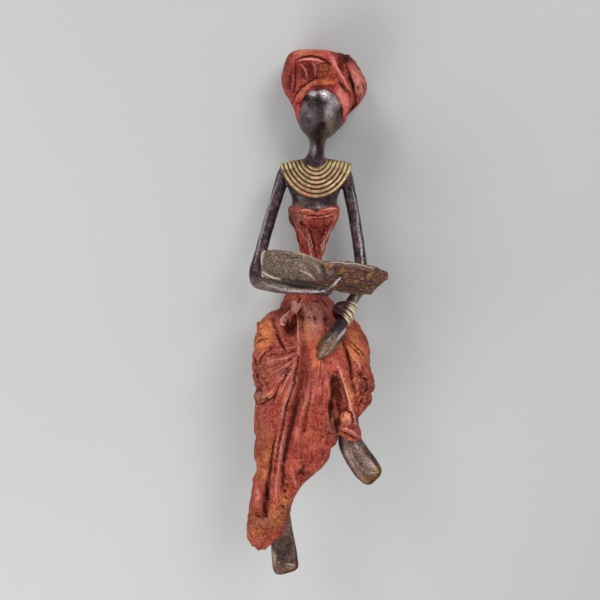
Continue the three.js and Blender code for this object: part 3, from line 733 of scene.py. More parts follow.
# Light lines along the ridges: painted highlight, partly worn edges.
TURBAN_BRIGHT = strokes("""
0.5 1.4 293 54 303 50.5 318 50 329 52
0.7 1 298 60.5 305 59 312 58.5 319 60 324 62
0.6 0.8 328 54 332 61 337 70 343 80
0.5 1 344 81 350 91
0.6 0.6 333 60 339 70 346 82 350 90
0.5 2.6 352 70 357 79 362 88
0.4 3 346 94 348 104 344 114
0.45 1.2 301 64 306 70 307 78
0.45 1 313 62 316 69 315 75
0.5 1 296 100 299 93 304 87 311 82
0.4 1 356 106 351 112 346 118
""")
# The shade patches are painted shade in the hollows and the recessed panel; the brightening patches on the right lobe
# and the strip beside the face are painted highlight.
TURBAN_SPOTS = spots("""
warm  305 53 14 3 0 0.5  322 82 14 3 0 0.6  304 92 4 8 30 0.4  345 84 9 3 60 0.35
ochre  324 70 7 7 0 0.8  323 80 12 4 0 0.6  285 66 3 12 8 0.6  311 84 8 3 -35 0.35
coarse  358 82 9 20 -15 1  318 68 16 9 0 0.6  287 76 6 22 0 0.4
shade  286 80 9 28 3 0.52  289 56 6 5 -40 0.5  308 70 15 13 0 1.1  327 64 4 4 0 0.7  323 86.5 14 2.4 0 0.7
shade  344 58 8 8 0 1.6  342 68 5 6 0 0.7
glow  358 83 7.5 18 -15 0.66  341 101 6 17 0 0.6  335 66 3 8 -30 0.3
""")


def turban():
    heights = np.concatenate([np.linspace(113.5, 116, 8)[:-1], np.linspace(116, 147.6, 70)])
    shells = [loft(levels(TURBAN, heights, 180, 2.2)), loft(limb(HEADBAND, 90, 28, (0, 1, 0.3)))]
    surface = Surface(fused("turban", shells, 0.42))
    surface.relax(4)
    push, dark, bright = surface.carve(TURBAN_FOLDS)
    push += surface.carve(TURBAN_EDGE, *ROUND_THE_SIDE)[0]
    x, y, z = surface.points.T
    # bands wound round the back, one over the other
    hidden = smoothstep(0, -0.4, surface.seen())
    slant = z - 0.22 * (x - 3) + 0.1 * y
    band_width = 8.5
    wound = np.abs(((slant / band_width) % 1) - 0.5) * 2
    push += hidden * (0.9 - 1.6 * wound ** 6)
    dark = np.maximum(dark, hidden * 0.75 * smoothstep(0.8, 1, wound))
    surface.push(push)
    fine = 0.3 * crumple(surface.points, 4.2, 11) + 0.14 * surface.waves(1.6, 12)
    surface.push(fine - 0.15)
    surface.relax(1)
    surface.level_off()
    deep = smoothstep(0.03, 0.4, surface.hollow(14))
    proud = smoothstep(0.04, 0.3, -surface.hollow(8))
    layers = surface.patches(TURBAN_SPOTS)
    layers["shade"] = np.maximum(layers["shade"], 0.5 * deep)
    layers["dark"] = np.maximum.reduce([0.5 * dark, 0.6 * deep, surface.drawn(TURBAN_DARK)])
    # bright: proud ridges lightened, partly worn, with painted highlight from the patches and TURBAN_BRIGHT
    layers["bright"] = np.maximum.reduce([
        0.3 * bright + 0.3 * proud, layers.pop("glow"), surface.drawn(TURBAN_BRIGHT)])
    surface.paint(bare=np.zeros(surface.count), **layers)
    x, y, z = surface.points.T
    surface.lie(np.stack([np.arctan2(x - 3, 25 - y) * 5, y * 0.3, z - 0.2 * x], 1))
    return surface


# Dress. The bodice is of level rings. A row of the skirt gives the way along it, its right and left side, inner and
# outer face, how much lower the left side is, and squareness. It turns down over LAP_TURN mm at the edge of the lap.

TORSO = table("""
8 -17 15 14 41
17 -19 15.6 12 41.6
24 -18.2 13.2 10.6 39
30 -15.8 8.2 10.4 34.5
35 -13.4 5.6 12 31
40 -10.6 4.6 13.4 29
46 -7.8 4 14.4 27.6
51.5 -6.7 3.4 15 27
56.5 -7.1 4.7 14.6 27
61.5 -8.4 6.2 13.6 27.2
66 -9.2 7.4 12 27.6
69 -10.8 9.2 9.8 28
73 -12.6 10.8 8.2 28.4
76.4 -13 11.2 8 28.4
78.2 -12.4 10.9 8.6 28.2
78.8 -10.9 10.3 10.8 28
81 -10.9 10.3 11.4 28
86 -12.4 11.8 12 28
92 -14.4 14 13.9 28
96.5 -12.5 12.3 16.2 26.6
99 -7.5 7.5 17.6 25
""")
LAP_TURN = 12
SKIRT = table("""
44 -10 9 3 13 0 2
42.4 -15.6 14.4 0.6 18 0.6 2.1
38 -20.4 18.6 -0.4 23 2 2.2
33 -23 21 -0.6 26.4 3.4 2.4
26 -25 23 -0.8 28.4 5 2.8
16 -26.8 24.8 -0.8 29.4 7 3.4
6 -28.4 26 -0.8 29.4 8.2 3.8
0 -28.6 26 -0.8 28.8 8 3.7
-4 -28.6 25 0.6 30.4 6 3.4
-8 -28.6 22 1 30.6 3 3
-12 -27.9 16 1 29 1 2.7
-18 -27.7 12.6 1 27 0 2.5
-28 -28.8 11.6 1 25.6 0 2.5
-38 -28.8 11 1 24.8 0 2.5
-42 -29 8 1 24.6 0 2.5
-47 -29.6 7.4 1 24 0 2.5
-51 -28.2 5 1 23.6 0 2.5
-56 -28.2 -0.4 1.2 23.2 0 2.5
-62 -29.8 -5.4 1.6 23 0 2.5
-69 -30.8 -9.2 2 23 0 2.5
""")
HEM_START = -58
HEM_TUBE = table("""
0 -31 -9.6 2 23
0.35 -32.2 -11 2.2 23.2
0.7 -33.2 -11.6 2.4 23.6
0.92 -33.6 -11.8 2.6 23.6
1 -32.6 -12.4 3.4 22.6
""")
HEM = table("""
-33.5 -80.5
-31.5 -82
-26 -82.8
-22.8 -81
-21.2 -78.8
-18.6 -76.4
-14.5 -73.4
-11 -69
""")
CALF = table("""
-25.6 10 21.8 -19.5 -3.5
-24.6 9.4 22.2 -20.2 -3
-20.5 9.6 20.9 -21 -2.6
-16 10 19.6 -22 -2.2
-13 10 19.9 -23.6 -1.8
-10 10 21.4 -24.8 -1.6
-7 9.6 23.6 -26 -1.4
-4 9 25.6 -27.4 -1
0 8 26.4 -28.8 -1
4 6 26.6 -29.4 0
9 4 25.8 -29 4
14 3 23.4 -26 6
18.6 6 19 -18 2
""")
HIP_KNOT = table("""
-5.6 12.4 34 0.9 1
-7.4 10.6 32.4 1.5 1.3
-9.4 9.2 30.4 2.3 1.4
-11.4 7.6 28.4 1.7 1.2
-12.2 6.6 27 0.7 0.7
""")
KNOT_CURL = table("""
-10.8 10.6 30 0.9 0.9
-13.2 9.8 28.3 1 1
-15 6.4 27.6 1 1
-15.4 2 27.3 0.9 0.9
-14.8 -2 27 0.8 0.8
-12.9 -1.2 26.9 0.6 0.6
""")
DRESS_FOLDS = strokes("""
# from the waist over the lap
0.8 2 301 303 306 318 310 335 312 350
-0.5 1.6 308 302 314 316 317 332
0.7 1.8 314 303 320 318 321 332
-0.5 2 322 302 325 315 326 330
0.9 2.2 330 303 332 320 329 338 324 350
-0.6 1.5 303 310 303 326 305 342
-0.5 1.2 295 298 298 306 300 316
-0.4 1.2 287 300 282 308 277 316
# right hip and the knot
-2.4 3.6 286 331 291 326 296 320
-1.2 1.8 284 333 290 334 297 330
-1 1.8 272 313 274 323 279 333
-1.1 1.5 276 331 280 341 285 350
-1 1.5 258 324 263 318 270 315
0.6 3 262 330 267 324 272 322
-0.9 1.4 256 343 262 338 270 337
-1 1.5 261 358 266 351 271 347
-0.6 1.3 286 338 290 343 294 346
# fine folds that fan out from the edge of the wrap
-0.5 1.4 297 349 281 355 263 356
0.5 1.4 297 353 281 360 262 365
-0.6 1.4 296 356 281 366 264 374
0.5 1.4 295 360 282 372 268 382
-0.6 1.5 294 364 283 378 274 390
0.4 1.4 298 344 285 350 271 353
0.4 1.5 292 370 284 385 278 398
-0.8 1.5 278 388 274 397 272 405
0.6 2.2 257 395 268 393
-1.2 1.6 256 400 264 399 271 401
-0.9 1.8 258 362
-0.9 1.8 262 386
-0.9 1.5 257 391
-0.6 1.4 287 369
-0.7 1.6 265 378
-0.7 1.5 257 374
-0.6 1.4 270 366
-0.6 1.4 277 350
# edge of the wrap, the dark channel beside it and the middle panel
0.9 2.2 299 318 298 345 295 362 291 384 284.5 404 280 422 276 446
0.5 1 297 316 298 332 298 346 295.5 362 291.5 384
-1.5 6 305 350 304.5 364 302 380 296.5 400 291 421 287 440 284 458
-1.1 1.6 299 350 297.5 366 294 384 287.5 404 283.5 422 281 440
-1.1 2 300 398 296 412 291 430 287 446 284 462 282 488
0.6 1.6 313 360 311 378 306 400 300 422 294 444 290 462
0.9 2.6 320 362 326 376 330 398 331 424 329 446
-0.7 1.8 313 370 311 396 305 428 301 445
-0.35 1.1 320 362 318 385 313 410
-0.35 1.1 324 368 323 392 321 412
0.3 1.1 316 364 315 388 309 415
0.3 1.1 322 364 321 388 318 412
-0.4 1.2 300 431 312 429 324 430 331 428
-1.1 1.2 322 437
-0.9 1.3 330 434
-0.7 1.1 327 443
# between the legs
-3.4 4 335 372 334 385 336 398 333 412 331 436
-1.6 3.4 338 372 342 386 345 400 345 408
0.8 1.6 330 382 337 392 344 404
# left knee and calf
1 2.2 337 358 340 370 344 386 348 400 353 418 357 430
-1.5 1.9 342 336 346 350 350 364 352 378 355 393
-1.2 1.7 345 337 353 346 360 353 365 356
0.6 2 352 350 360 362 364 374
-1.2 2 361 371 366 378
-1.2 1.8 366 383 370 390
-1 1.8 359 391 366 396
-0.8 1.4 357 380 361 386
-0.7 1.4 364 388 361 380
-0.9 1.6 356 400 359 410 357 420
-1 1.5 339 412 346 409 352 413 353 421 350 428
1.5 4 343 418 348 419
0.7 1.8 341 427 347 430 353 433 359 437
-1.7 2.4 331 403 333 414 337 424
0.9 1.8 328 410 330 425 334 440
# long folds down to the hem
-1.4 2.8 279 425 274 442 271 462 268 482 266 502 264 517
-0.9 1.4 283 426 279 445 276 462 273 480 272 497
0.8 1.7 286 424 282 445 279 465 277 485 276 505
-0.7 1.4 285 470 284 485 285 497
0.5 1.5 280 466 280 482 281 496
0.5 4 264 415 260 440 258 462
-0.5 1.6 257 430 262 440 258 452
-0.5 1.5 254 468 262 474 270 470
0.7 5 258 482 257 498 254 512
-2.2 4 266 488 266 502 263 515
-0.6 1.4 250 512 258 516 264 518
0.9 4 253 524 262 524 271 519 279 511 286 503
-0.6 1.5 256 533 264 534 272 530
-1 1.2 285 492
-1 1.2 286 498
-1 1.3 283 507
-0.9 1.2 281 513
-0.8 1.1 287 487
# where the cloth is drawn in above the right shin
-1.9 3.2 298 478 303 471 308 465
-0.8 1.6 300 456 303 462 304 470
0.6 2 291 468 296 480 299 488
0.5 2 331 446 327 458 318 470
-0.5 1.5 322 446 325 456 320 464
# bodice
0.6 1.5 293 208 305 206 318 205.5 330 206 337 209
-0.5 1.4 293 213 305 211 318 211 330 212 336 214
-0.4 1.1 300 218 312 217 328 215
1 7 302 217 304 220
1 7 328 216 327 219
0.8 2 299 224 306 236 312 252 315 264
-0.7 1.6 305 226 311 240 315 256
0.8 2 333 222 327 236 321 252 318 264
-0.7 1.6 327 226 322 240 319 254
0.4 1.4 315 228 316 244
-0.5 1.5 299 232 303 246 306 260
-0.6 1.6 332 230 326 246 323 258
""")
DRESS_EDGE = strokes("""
-1.5 3 255 333 262 333
0.8 4 258 323
-0.8 2.4 279 304 274 309
-1.1 2.6 252 389 259 389
0.5 3 254 398
-0.6 2 251 349 255 350
-1.2 2.6 377 393 370 394
-1.1 2.4 368 404 361 405
0.6 3 373 384
-0.7 2 374 371 369 372
-0.6 3 252 436 256 437
-0.7 2 247 520 251 521
-0.8 1.8 253 549 254 543
-0.7 1.8 264 549 265 544
0.5 3 252 478
-0.8 2.5 300 484 304 478
""")
DRESS_DARK = strokes("""
# hip and knot
0.9 1.1 299 296 300 299 298 303
0.9 1.2 288 319 287 325 289 331
0.9 1.1 292 318 292 325 292 332
0.8 1 296 320 296 330
0.7 1 284 328 288 334 294 333
0.9 1.1 277 331 280 341 286 351
0.8 0.9 259 330 258 323 262 317 268 313.5 272 312
0.8 0.9 256 344 261 340 266 338
0.7 1 266 352 262 357 260 364
0.6 0.8 275 344 271 350 262 354
0.6 0.9 291 341 294 345
0.6 0.8 282 303 278 309 275 316
0.6 0.8 309 305 313 313
0.7 0.8 312 301 320 303
0.7 1 322 299 327 308
0.5 0.8 315 318 319 330 317 338
0.7 0.8 316 350 320 342 323 335
# fan of the thigh
0.6 0.7 297 350 284 354 268 355
0.6 0.7 297 355 283 363 266 368
0.6 0.7 296 360 284 372 270 381
0.5 0.7 294 366 285 379 277 391
0.8 1.1 255 358 256 366
0.8 1.2 256 374 258 379
0.8 1.4 259 386 262 392
0.7 1.6 265 382 268 387
0.6 1 286 367 289 371
0.6 1 262 366 266 371
0.9 1 255 405 263 403 270 399 276 395
0.8 1 279 387 275 395 272 405
0.6 0.8 287 375 281 384 277 392
# channel beside the edge of the wrap
0.6 0.8 299.5 350 297.5 366 294 384 287.5 404 283.5 422 281 440
0.9 1.2 300 398 296 412 292 428 287 446 284 462 283 480
0.5 0.8 322 352 320 366 321 380
0.45 0.8 330 352 331 364
0.6 0.7 300 432 309 430 320 430 330 432 334 438
0.9 1 324 437
0.8 1 330 434
0.7 0.9 327 443
0.6 0.9 301 456 304 461
# between the legs and on the left leg
0.9 1.6 331.5 402 332 412
0.8 1.4 334 420 337 432
0.85 1.2 331 386 333 376
0.6 1 337 380 338 396 336 406
0.6 1 343 386 346 398
0.9 1 342 341 347 350 350 363 352 378
0.8 0.9 346 337 354 345 361 351 365 357
0.9 1 340 413 346 409.5 351 413 353.5 420 352 427
0.9 1 341 431 347 434 353 437 359 440
0.9 1.5 364 377 367 381
0.9 1.5 367 388 364 393
0.8 1.3 362 398 359 405
0.7 1 358 372 361 377
0.7 1 354 384 356 388
0.7 1 361 366 364 370
0.5 0.8 343 360 347 374 350 388
0.6 0.8 354 404 357 414 358 424
# long folds to the hem
0.8 1.2 277 430 273 447 270 466 268 482
0.9 2 267 483 267 493 268 500
0.85 2.2 265 503 265 511 267 518
0.6 0.8 281 428 278 445 275 462
0.5 0.8 288 470 287 484
0.9 1.2 287 485
0.9 1.2 286 491
0.9 1.2 286.5 498
0.9 1.2 284 508
0.8 1 282 514
0.8 1 291 506 291 514
0.8 1.6 301 470 304 476
0.6 1 308 464 312 461
0.5 0.9 320 463 324 458
0.6 1.2 249 530 253 538
0.6 1 258 524 263 529
0.6 1 256 512 260 518
# bodice
0.9 1.4 287 206 287.5 213 291 221 296 228
0.7 2 301 221 303 226
0.8 0.8 299 213 308 214 318 216 330 213 335 211
0.8 0.8 303 219 314 219 324 218 334 216
0.8 1.2 311 215 318 217
0.8 0.9 304 224 311 232 315 246 316 260
0.7 0.8 332 220 325 230 321 244 319 258
0.9 1.2 297 231 299 240 300 252
0.8 0.8 302 230 306 238 309 252
0.7 0.8 308 225 316 229 326 225
0.9 1.6 301 221 303 226
""")
# Painted shade in the dark channel beside the wrap, between the legs, beside the left knee and in a long fold to the
# hem.
DRESS_SHADE = strokes("""
0.6 3.6 311 360 308.5 378 305 394 300 408
0.62 6.6 305 342 304.5 364 303 380 299 398
0.62 5.8 303 382 298 402 293 421
0.62 4 296 408 289 436 284 460
0.4 4.4 337 370 338 386 339 406
0.4 3.4 342 380 346 396 347 406
0.5 3 332 398 332 414 337 434
0.6 3.4 271 462 268 482 267 500 265 518
0.4 2 351 364 355 393
""")
# Light lines on the knot, the ridges of the folds and the bodice: painted highlight, partly worn edges.
DRESS_BRIGHT = strokes("""
0.9 1 303 300 297 302 292 307 291 313
0.8 0.9 303 303 299 308 296 314
0.8 1.2 289 311 284 316 281 320 281 324 285 325
0.8 0.7 297 316 298 330 299 345 298.5 356
0.5 1 303 305 307 313 311 324
0.5 0.8 314 304 319 316 321 330
0.45 0.8 327 308 329 320 327 332
0.45 0.8 277 317 279 326 282 334
0.5 0.7 297 352.5 284 358 268 361
0.5 0.7 296 357.5 284 367 270 374
0.5 0.7 295 363 286 374 276 384
0.5 0.8 293 368 287 380 281 392
0.4 0.8 296 347 284 349 270 350
0.5 0.8 258 401 266 396 272 391
0.45 1 256 394 264 391
0.6 0.9 296 372 292 386 285 404 281 420
0.5 0.8 284 434 281 446 278 460
0.45 0.8 287 430 283 448 280 464
0.25 2.6 311 380 307 396 303 412
0.4 0.8 319 362 317 384 314 400
0.7 1 338 366 342 378 347 394 352 410 356 424
0.6 1.1 341 428 347 429 353 432 360 437
0.5 1.6 344 414 349 418 349 424
0.45 0.8 336 360 337 368
0.4 1.2 331 414 334 424
0.6 1 352 356 358 362 361 370
0.4 0.8 357 347 364 360
0.4 1.2 258 488 258 504
0.4 1.2 276 474 276 496
0.4 1 293 474 296 488
0.7 0.8 300 210 307 209.5 314 211.5
0.8 0.8 323 210 329 208 336 209
0.7 0.7 298 228 304 235 309 246 312 260
0.7 0.7 336 222 330 229 325 240 322 254
0.7 0.8 306 228 310 236 313 248
0.7 0.8 326 230 322 240 320 252
0.5 0.7 304 216 313 217 318 219 326 216.5 332 214
0.5 0.7 337 214 334 222
""")
# The shade patches are painted shade under the book, in the knot's hollow and between the legs, with a darker tone on
# some smooth panels; the pale patches are painted highlight on the knot's flap and painted light on the lap under the
# book.
DRESS_SPOTS = spots("""
warm  266 330 9 14 10 0.85  262 343 9 7 0 0.8  356 350 8 12 -20 0.85  352 335 7 7 0 0.7  316 360 5 12 0 0.5
warm  348 395 3 18 -12 0.8  309 328 12 18 0 0.55  270 455 8 14 20 0.5  264 470 10 8 0 0.55  274 518 12 8 -30 0.8
warm  256 530 10 9 0 0.7  346 416 6 6 0 0.6  285 500 5 8 0 0.6  340 345 4 12 -15 0.4
ochre  264 396 9 6 0 0.5  260 475 9 8 30 0.45  272 522 13 6 -30 0.6  256 520 9 10 0 0.45  362 354 5 4 0 0.5
ochre  334 420 5 14 0 0.5  258 372 6 18 0 0.35  312 405 14 6 0 0.25  287 512 5 12 0 0.5  340 436 8 6 0 0.4
ochre  262 440 8 30 0 0.3  312 432 12 10 0 0.25  282 395 6 10 20 0.25  294 214 5 9 0 0.5  316 207.5 20 2.4 0 0.7
ochre  291 207 6 3 0 0.9
shade  340 392 7 18 -10 0.5  332 412 3 12 0 0.5  318 300 12 2.5 0 0.35  295 215 5 8 0 0.5  291 327 8 8 0 1.3
shade  265 506 5 12 0 0.75  303 474 5 5 0 0.7  366 384 5 9 0 0.55  259 380 4 14 0 0.55  302 222 4 7 0 0.8
shade  315 232 9 22 0 0.45  303 460 5 7 0 0.35  263 436 11 46 3 0.36  266 530 24 22 0 0.42  316 242 14 26 0 0.4
shade  314 452 18 10 0 0.16  262 372 14 22 0 0.18  290 470 8 30 10 0.15
pale  296 306 7 7 0 0.8  284 319 4 5 0 0.6  307 314 5 12 -20 0.4  314 320 12 18 0 0.55
bare  291 217 10 13 -10 1.3  259 372 5 24 0 0.5  334 425 6 14 0 0.6  288 528 6 16 0 0.9  318 304 12 6 0 0.5
bare  262 395 8 7 0 0.5  366 386 5 12 0 0.4  276 366 16 16 0 0.35  290 395 6 20 15 0.35  305 440 8 10 0 0.2
bare  264 425 6 12 0 0.3
coarse  262 372 12 20 0 0.7  276 362 14 12 0 0.4  262 520 16 20 0 1  278 508 12 14 -20 0.9  360 386 12 16 0 0.9
coarse  348 395 6 24 -12 0.5  259 398 8 10 0 0.8  286 500 6 30 0 0.6  340 385 7 18 -10 0.5  302 224 5 10 0 0.4
coarse  294 215 5 9 0 0.5  290 518 6 12 0 0.8  262 440 9 30 0 0.35  320 305 12 8 0 0.45  335 425 6 14 0 0.4
coarse  305 470 5 8 0 0.6
""")
# Where the cloth is crumpled: the drawn-up thigh, the hem and the hips, as across, down and two radii
CRUMPLED = [(270, 368, 20, 26), (264, 520, 20, 22), (364, 384, 12, 18), (260, 396, 10, 10), (262, 330, 8, 16)]
SKIRT_SIDES = 220


def skirt_rings():
    angles = turns(SKIRT_SIDES)
    t = np.concatenate([np.linspace(44, -12, 110), np.linspace(-12.6, -69, 110)])
    right, left, inner, outer, lean, square = along(SKIRT, t)[:, :, None].transpose(1, 0, 2)
    u, v = corner(angles[None], square)
    rise = (inner + outer) / 2 + (outer - inner) / 2 * v - lean * (u + 1) * (v + 1) / 4
    turn = (math.pi / 2 * np.clip(-t / LAP_TURN, 0, 1))[:, None]
    x = (left + right) / 2 + (left - right) / 2 * u
    y = np.maximum(t, 0)[:, None] - np.sin(turn) * rise
    z = np.minimum(0, t + LAP_TURN)[:, None] + np.cos(turn) * rise
    return np.stack([x, y, z], axis=-1)


def hem_ring(share, shrink=1, lift=0):
    right, left, inner, outer = along(HEM_TUBE, share)[0]
    u, v = corner(turns(SKIRT_SIDES), 2.5)
    x = (left + right) / 2 + (left - right) / 2 * u * shrink
    y = -(inner + outer) / 2 - (outer - inner) / 2 * v * shrink
    foot = along(HEM, np.clip(x, HEM[0][0], HEM[-1][0]))[:, 0]
    foot = foot + 0.5 * np.sin(x * 1.9) + 0.35 * np.sin(y * 1.3 + 1)
    return np.stack([x, y, HEM_START + (foot - HEM_START) * share + lift], axis=-1)


def plain_folds(points):
    """Long creases for the sides and the back, which the photo doesn't show: from 0 to 1."""
    x, y, z = points.T
    wander = 3.4 * waves(points * (1, 0.5, 0.5), 9, 26)
    lap = z + 0.35 * y + wander
    legs = 0.8 * y + 0.5 * x + 0.12 * z + wander
    back = 1.5 * x * (1 + 0.012 * np.abs(z - 51)) + wander
    on_back, on_legs = smoothstep(14, 24, z), smoothstep(6, -12, z)
    lap, legs, back = ((1 - np.abs(np.sin(np.pi * place / pitch))) ** 2
                       for place, pitch in ((lap, 5.4), (legs, 5), (back, 5)))
    return back * on_back + legs * on_legs + lap * (1 - on_back - on_legs)


def dress():
    rings = list(skirt_rings())
    rings += [hem_ring(share) for share in np.linspace(0.02, 1, 44)]
    rings += [hem_ring(1, shrink) for shrink in (0.92, 0.86)]
    rings += [hem_ring(1, 0.8, lift) for lift in (1.5, 3, 5)]
    calf = levels(CALF, np.linspace(-25.6, 18.6, 90), 150, 2.3)
    calf[..., 2] += np.clip((-16 - calf[..., 2]) / 9.6, 0, 1) * (20.5 - calf[..., 0]) * 0.34
    middle = calf[0].mean(0)
    inside = [(calf[0] - middle) * scale + middle + (0, 0, lift) for scale, lift in ((0.72, 4), (0.78, 1.5), (0.86, 0))]
    bodice = levels(TORSO, np.concatenate([np.linspace(10, 76, 110), np.linspace(76.3, 78.9, 9)]), 150, 2.2)
    shells = [rings, inside + list(calf), bodice, limb(HIP_KNOT, 50, 28, (1, 0, 0.3)),
              limb(KNOT_CURL, 60, 16, (1, 0, 0.3))]
    surface = Surface(fused("dress", [loft(shell) for shell in shells], 0.56))
    surface.relax(5)
    push, dark, bright = surface.carve(DRESS_FOLDS)
    push += surface.carve(DRESS_EDGE, *ROUND_THE_SIDE)[0]
    crease = plain_folds(surface.points) * smoothstep(0.3, -0.15, surface.seen())
    push -= 0.9 * crease
    surface.push(push)
    place = picture(surface.points)
    rough = np.max([np.exp(-(((place - (a, b)) / (wide, tall)) ** 2).sum(1)) for a, b, wide, tall in CRUMPLED], axis=0)
    drape = surface.points * (1, 1, 0.25)
    fine = (0.12 + 0.6 * rough) * crumple(surface.points, 3.4, 21) + 0.2 * crumple(drape, 2.4, 22)
    fine += (0.06 + 0.35 * rough) * surface.waves(1.6, 23) + 0.35 * surface.waves(9, 24)
    fine += 0.6 * rough * surface.waves(3.6, 25)
    surface.push(fine - 0.25)
    surface.relax(1)
    surface.level_off()
    deep = smoothstep(0.04, 0.45, surface.hollow(16))
    proud = smoothstep(0.05, 0.35, -surface.hollow(8))
    layers = surface.patches(DRESS_SPOTS)
    layers["shade"] = np.maximum.reduce([layers["shade"], surface.drawn(DRESS_SHADE), 0.45 * deep])
    layers["dark"] = np.maximum.reduce([0.5 * dark, 0.6 * deep, surface.drawn(DRESS_DARK), 0.4 * crease])
    # bright: proud ridges lightened, partly worn, with painted highlight and light from the pale patches and
    # DRESS_BRIGHT
    layers["bright"] = np.maximum.reduce([
        0.15 * bright + 0.2 * proud, layers.pop("pale"), surface.drawn(DRESS_BRIGHT)])
    surface.paint(**layers)
    # the cloth lies down her length, and on the right thigh it fans out from the edge of the wrap
    x, y, z = surface.points.T
    way = picture(surface.points) - (304, 340)
    angle, reach = np.arctan2(way[:, 0], way[:, 1]), np.hypot(*way.T)
    fan = np.stack([angle * 26, reach / 14, y * 0.4], axis=1)
    straight = np.stack([x + 0.12 * z, y, z * 0.16], axis=1)
    share = smoothstep(0.05, 0.2, -angle) * smoothstep(95, 70, reach) * (way[:, 1] > -4) * (surface.seen() > 0)
    surface.lie(np.where(share[:, None] > 0.5, fan, straight))
    return surface


# Head, chest, arms, hands and feet

HEAD = table("""
95 -7 7 15.6 26
98.6 -6.6 6.2 15.8 25.4
101.5 -4.2 4.3 16 24
104 -3 4.1 15.8 23.2
106.5 -2.6 4.4 15 22.6
109 -3 5 13 23
111 -4.3 7.6 10.6 24
114 -6.8 10.4 7.6 26
117.5 -8 12 5.2 28
121.5 -8.6 12.6 3.8 30
125 -8.6 12.5 3.2 31
129 -8 11.8 3.4 31
132.5 -6.4 10 5 30
136 -3 6.6 9 28
""")
RIGHT_ARM = table("""
-12.4 20.5 96.4 2.2 2.2
-14.4 20.4 93.4 3 3
-17 19.8 85.4 2.9 3
-21.4 18 71.6 2.8 2.9
-25.6 15 57 2.9 2.8
-28.2 12.4 48 3 2.9
-27 7.6 44.8 3 3
-20.6 -0.6 45.8 2.8 3
-13 -8.4 47.2 2.6 2.9
-6 -14 48.4 2.4 2.6
-1.6 -17.6 49.2 2.4 2.3
""")
LEFT_ARM = table("""
12 20.5 96 2.2 2.2
14 20.4 92.6 3 3
15.8 19.8 85.4 2.9 3
18.6 18 71.6 2.8 2.9
21 15 57 2.8 2.8
22.2 12.4 47 2.8 2.8
21.1 9 42 2.8 2.8
18.2 4 38.2 2.6 2.6
14.7 -0.4 34.2 2.5 2.5
11.9 -5 30.1 2.4 2.3
9.9 -8.6 26.7 2.5 2.1
""")
LEFT_HAND = table("""
12.8 -5 30.9 2.2 2
11.4 -8.5 28.8 3 1.9
8.9 -12.8 26.1 3.6 1.8
6.1 -17.2 23.6 3.5 1.7
3.5 -20.6 21.3 2.8 1.5
1.4 -23.2 19.6 1.4 1
""")
LEFT_THUMB = table("""
7.9 -9 26.6 1.1 1.1
4.8 -13.4 25.2 1.2 1.2
2.5 -16.8 23.7 1.1 1.1
0.9 -19 22.2 0.7 0.7
""")
RIGHT_PALM = table("""
-4 -16.2 49.2 2.2 2.2
-0.6 -18.4 49.8 3 2.4
3 -20.6 50.6 3.6 2.6
5.4 -22 51.6 2.8 2.2
""")
RIGHT_FINGERS = [table("""
1.4 -21 51.4 1.1 1.1
3.6 -24 55 1.25 1.2
6 -27.4 59.4 1.2 1.1
7.4 -29 61.6 0.7 0.7
"""), table("""
3.4 -20.6 49.4 1.1 1.1
6 -23.4 52.4 1.25 1.2
8.8 -26 56 1.2 1.1
10.2 -27.2 57.8 0.7 0.7
""")]
RIGHT_FOOT = table("""
-17.6 -10.4 -58 4.6 4.6
-17 -11 -69 5 4.8
-16.4 -12.6 -77 5.5 4.8
-15.6 -15.4 -83 6 4.2
-14.8 -18.4 -88 6.4 3.4
-14.1 -21 -92.2 6.5 2.7
-13.4 -22.6 -94.2 5.6 2.2
-13.1 -23.2 -95.1 3.4 1.3
""")
LEFT_FOOT = table("""
15.8 -9.6 -17 4.6 4.6
16.2 -9.8 -25 5.2 4.9
17 -10.6 -30 5.8 4.9
20 -12.6 -35.4 6.3 4.2
23.4 -15 -39.6 6.4 3.5
26.3 -17.3 -42.6 6 2.8
27.9 -18.6 -44.2 5 2.2
28.8 -19.3 -45 3 1.3
""")
HAND_FOLDS = strokes("""
-0.3 1.1 345 322 340 331 333 337
0.35 1.6 347 328 342 335 337 340
-0.3 1 333 343 328 350 323 357
-0.7 1.3 323 290 330 282 337 274
-0.5 1.2 318 291 322 287 326 284
""")
# Painted shade: under the book along the forearm, between the fingers and the book, at the wrist and along the thumb.
HAND_PAINTED_SHADE = strokes("""
0.95 1 322 288 329 280 336 273
0.6 0.8 340 322 343 330
1 3 282 283 296 285.5 312 287 324 288.5
0.6 1.4 266 274 276 279 284 281
0.7 0.8 333 330 329 337 325 341
0.5 0.7 330 345 325 353 320 359
""")
# Painted highlight along the outer edges of the arms, on the hand, the fingers and the forearm.
HAND_PAINTED_HIGHLIGHTS = strokes("""
0.5 1.3 352 186 357 212 361 244 363 272
0.4 1.2 280 174 270 202 261 236 255 262
0.75 1.7 346 328 342 334 337 340
0.6 1.4 331 337 326 342
0.25 0.8 350 330 344 341 336 350 327 358
0.5 1 316 358 320 360
0.55 0.9 333 287 338 280 341 277
0.6 0.8 326 276 334 268.5
0.4 1.6 262 282 275 287.5 292 291 312 292 324 291
0.5 1.2 358 293 356 300 353 308
""")
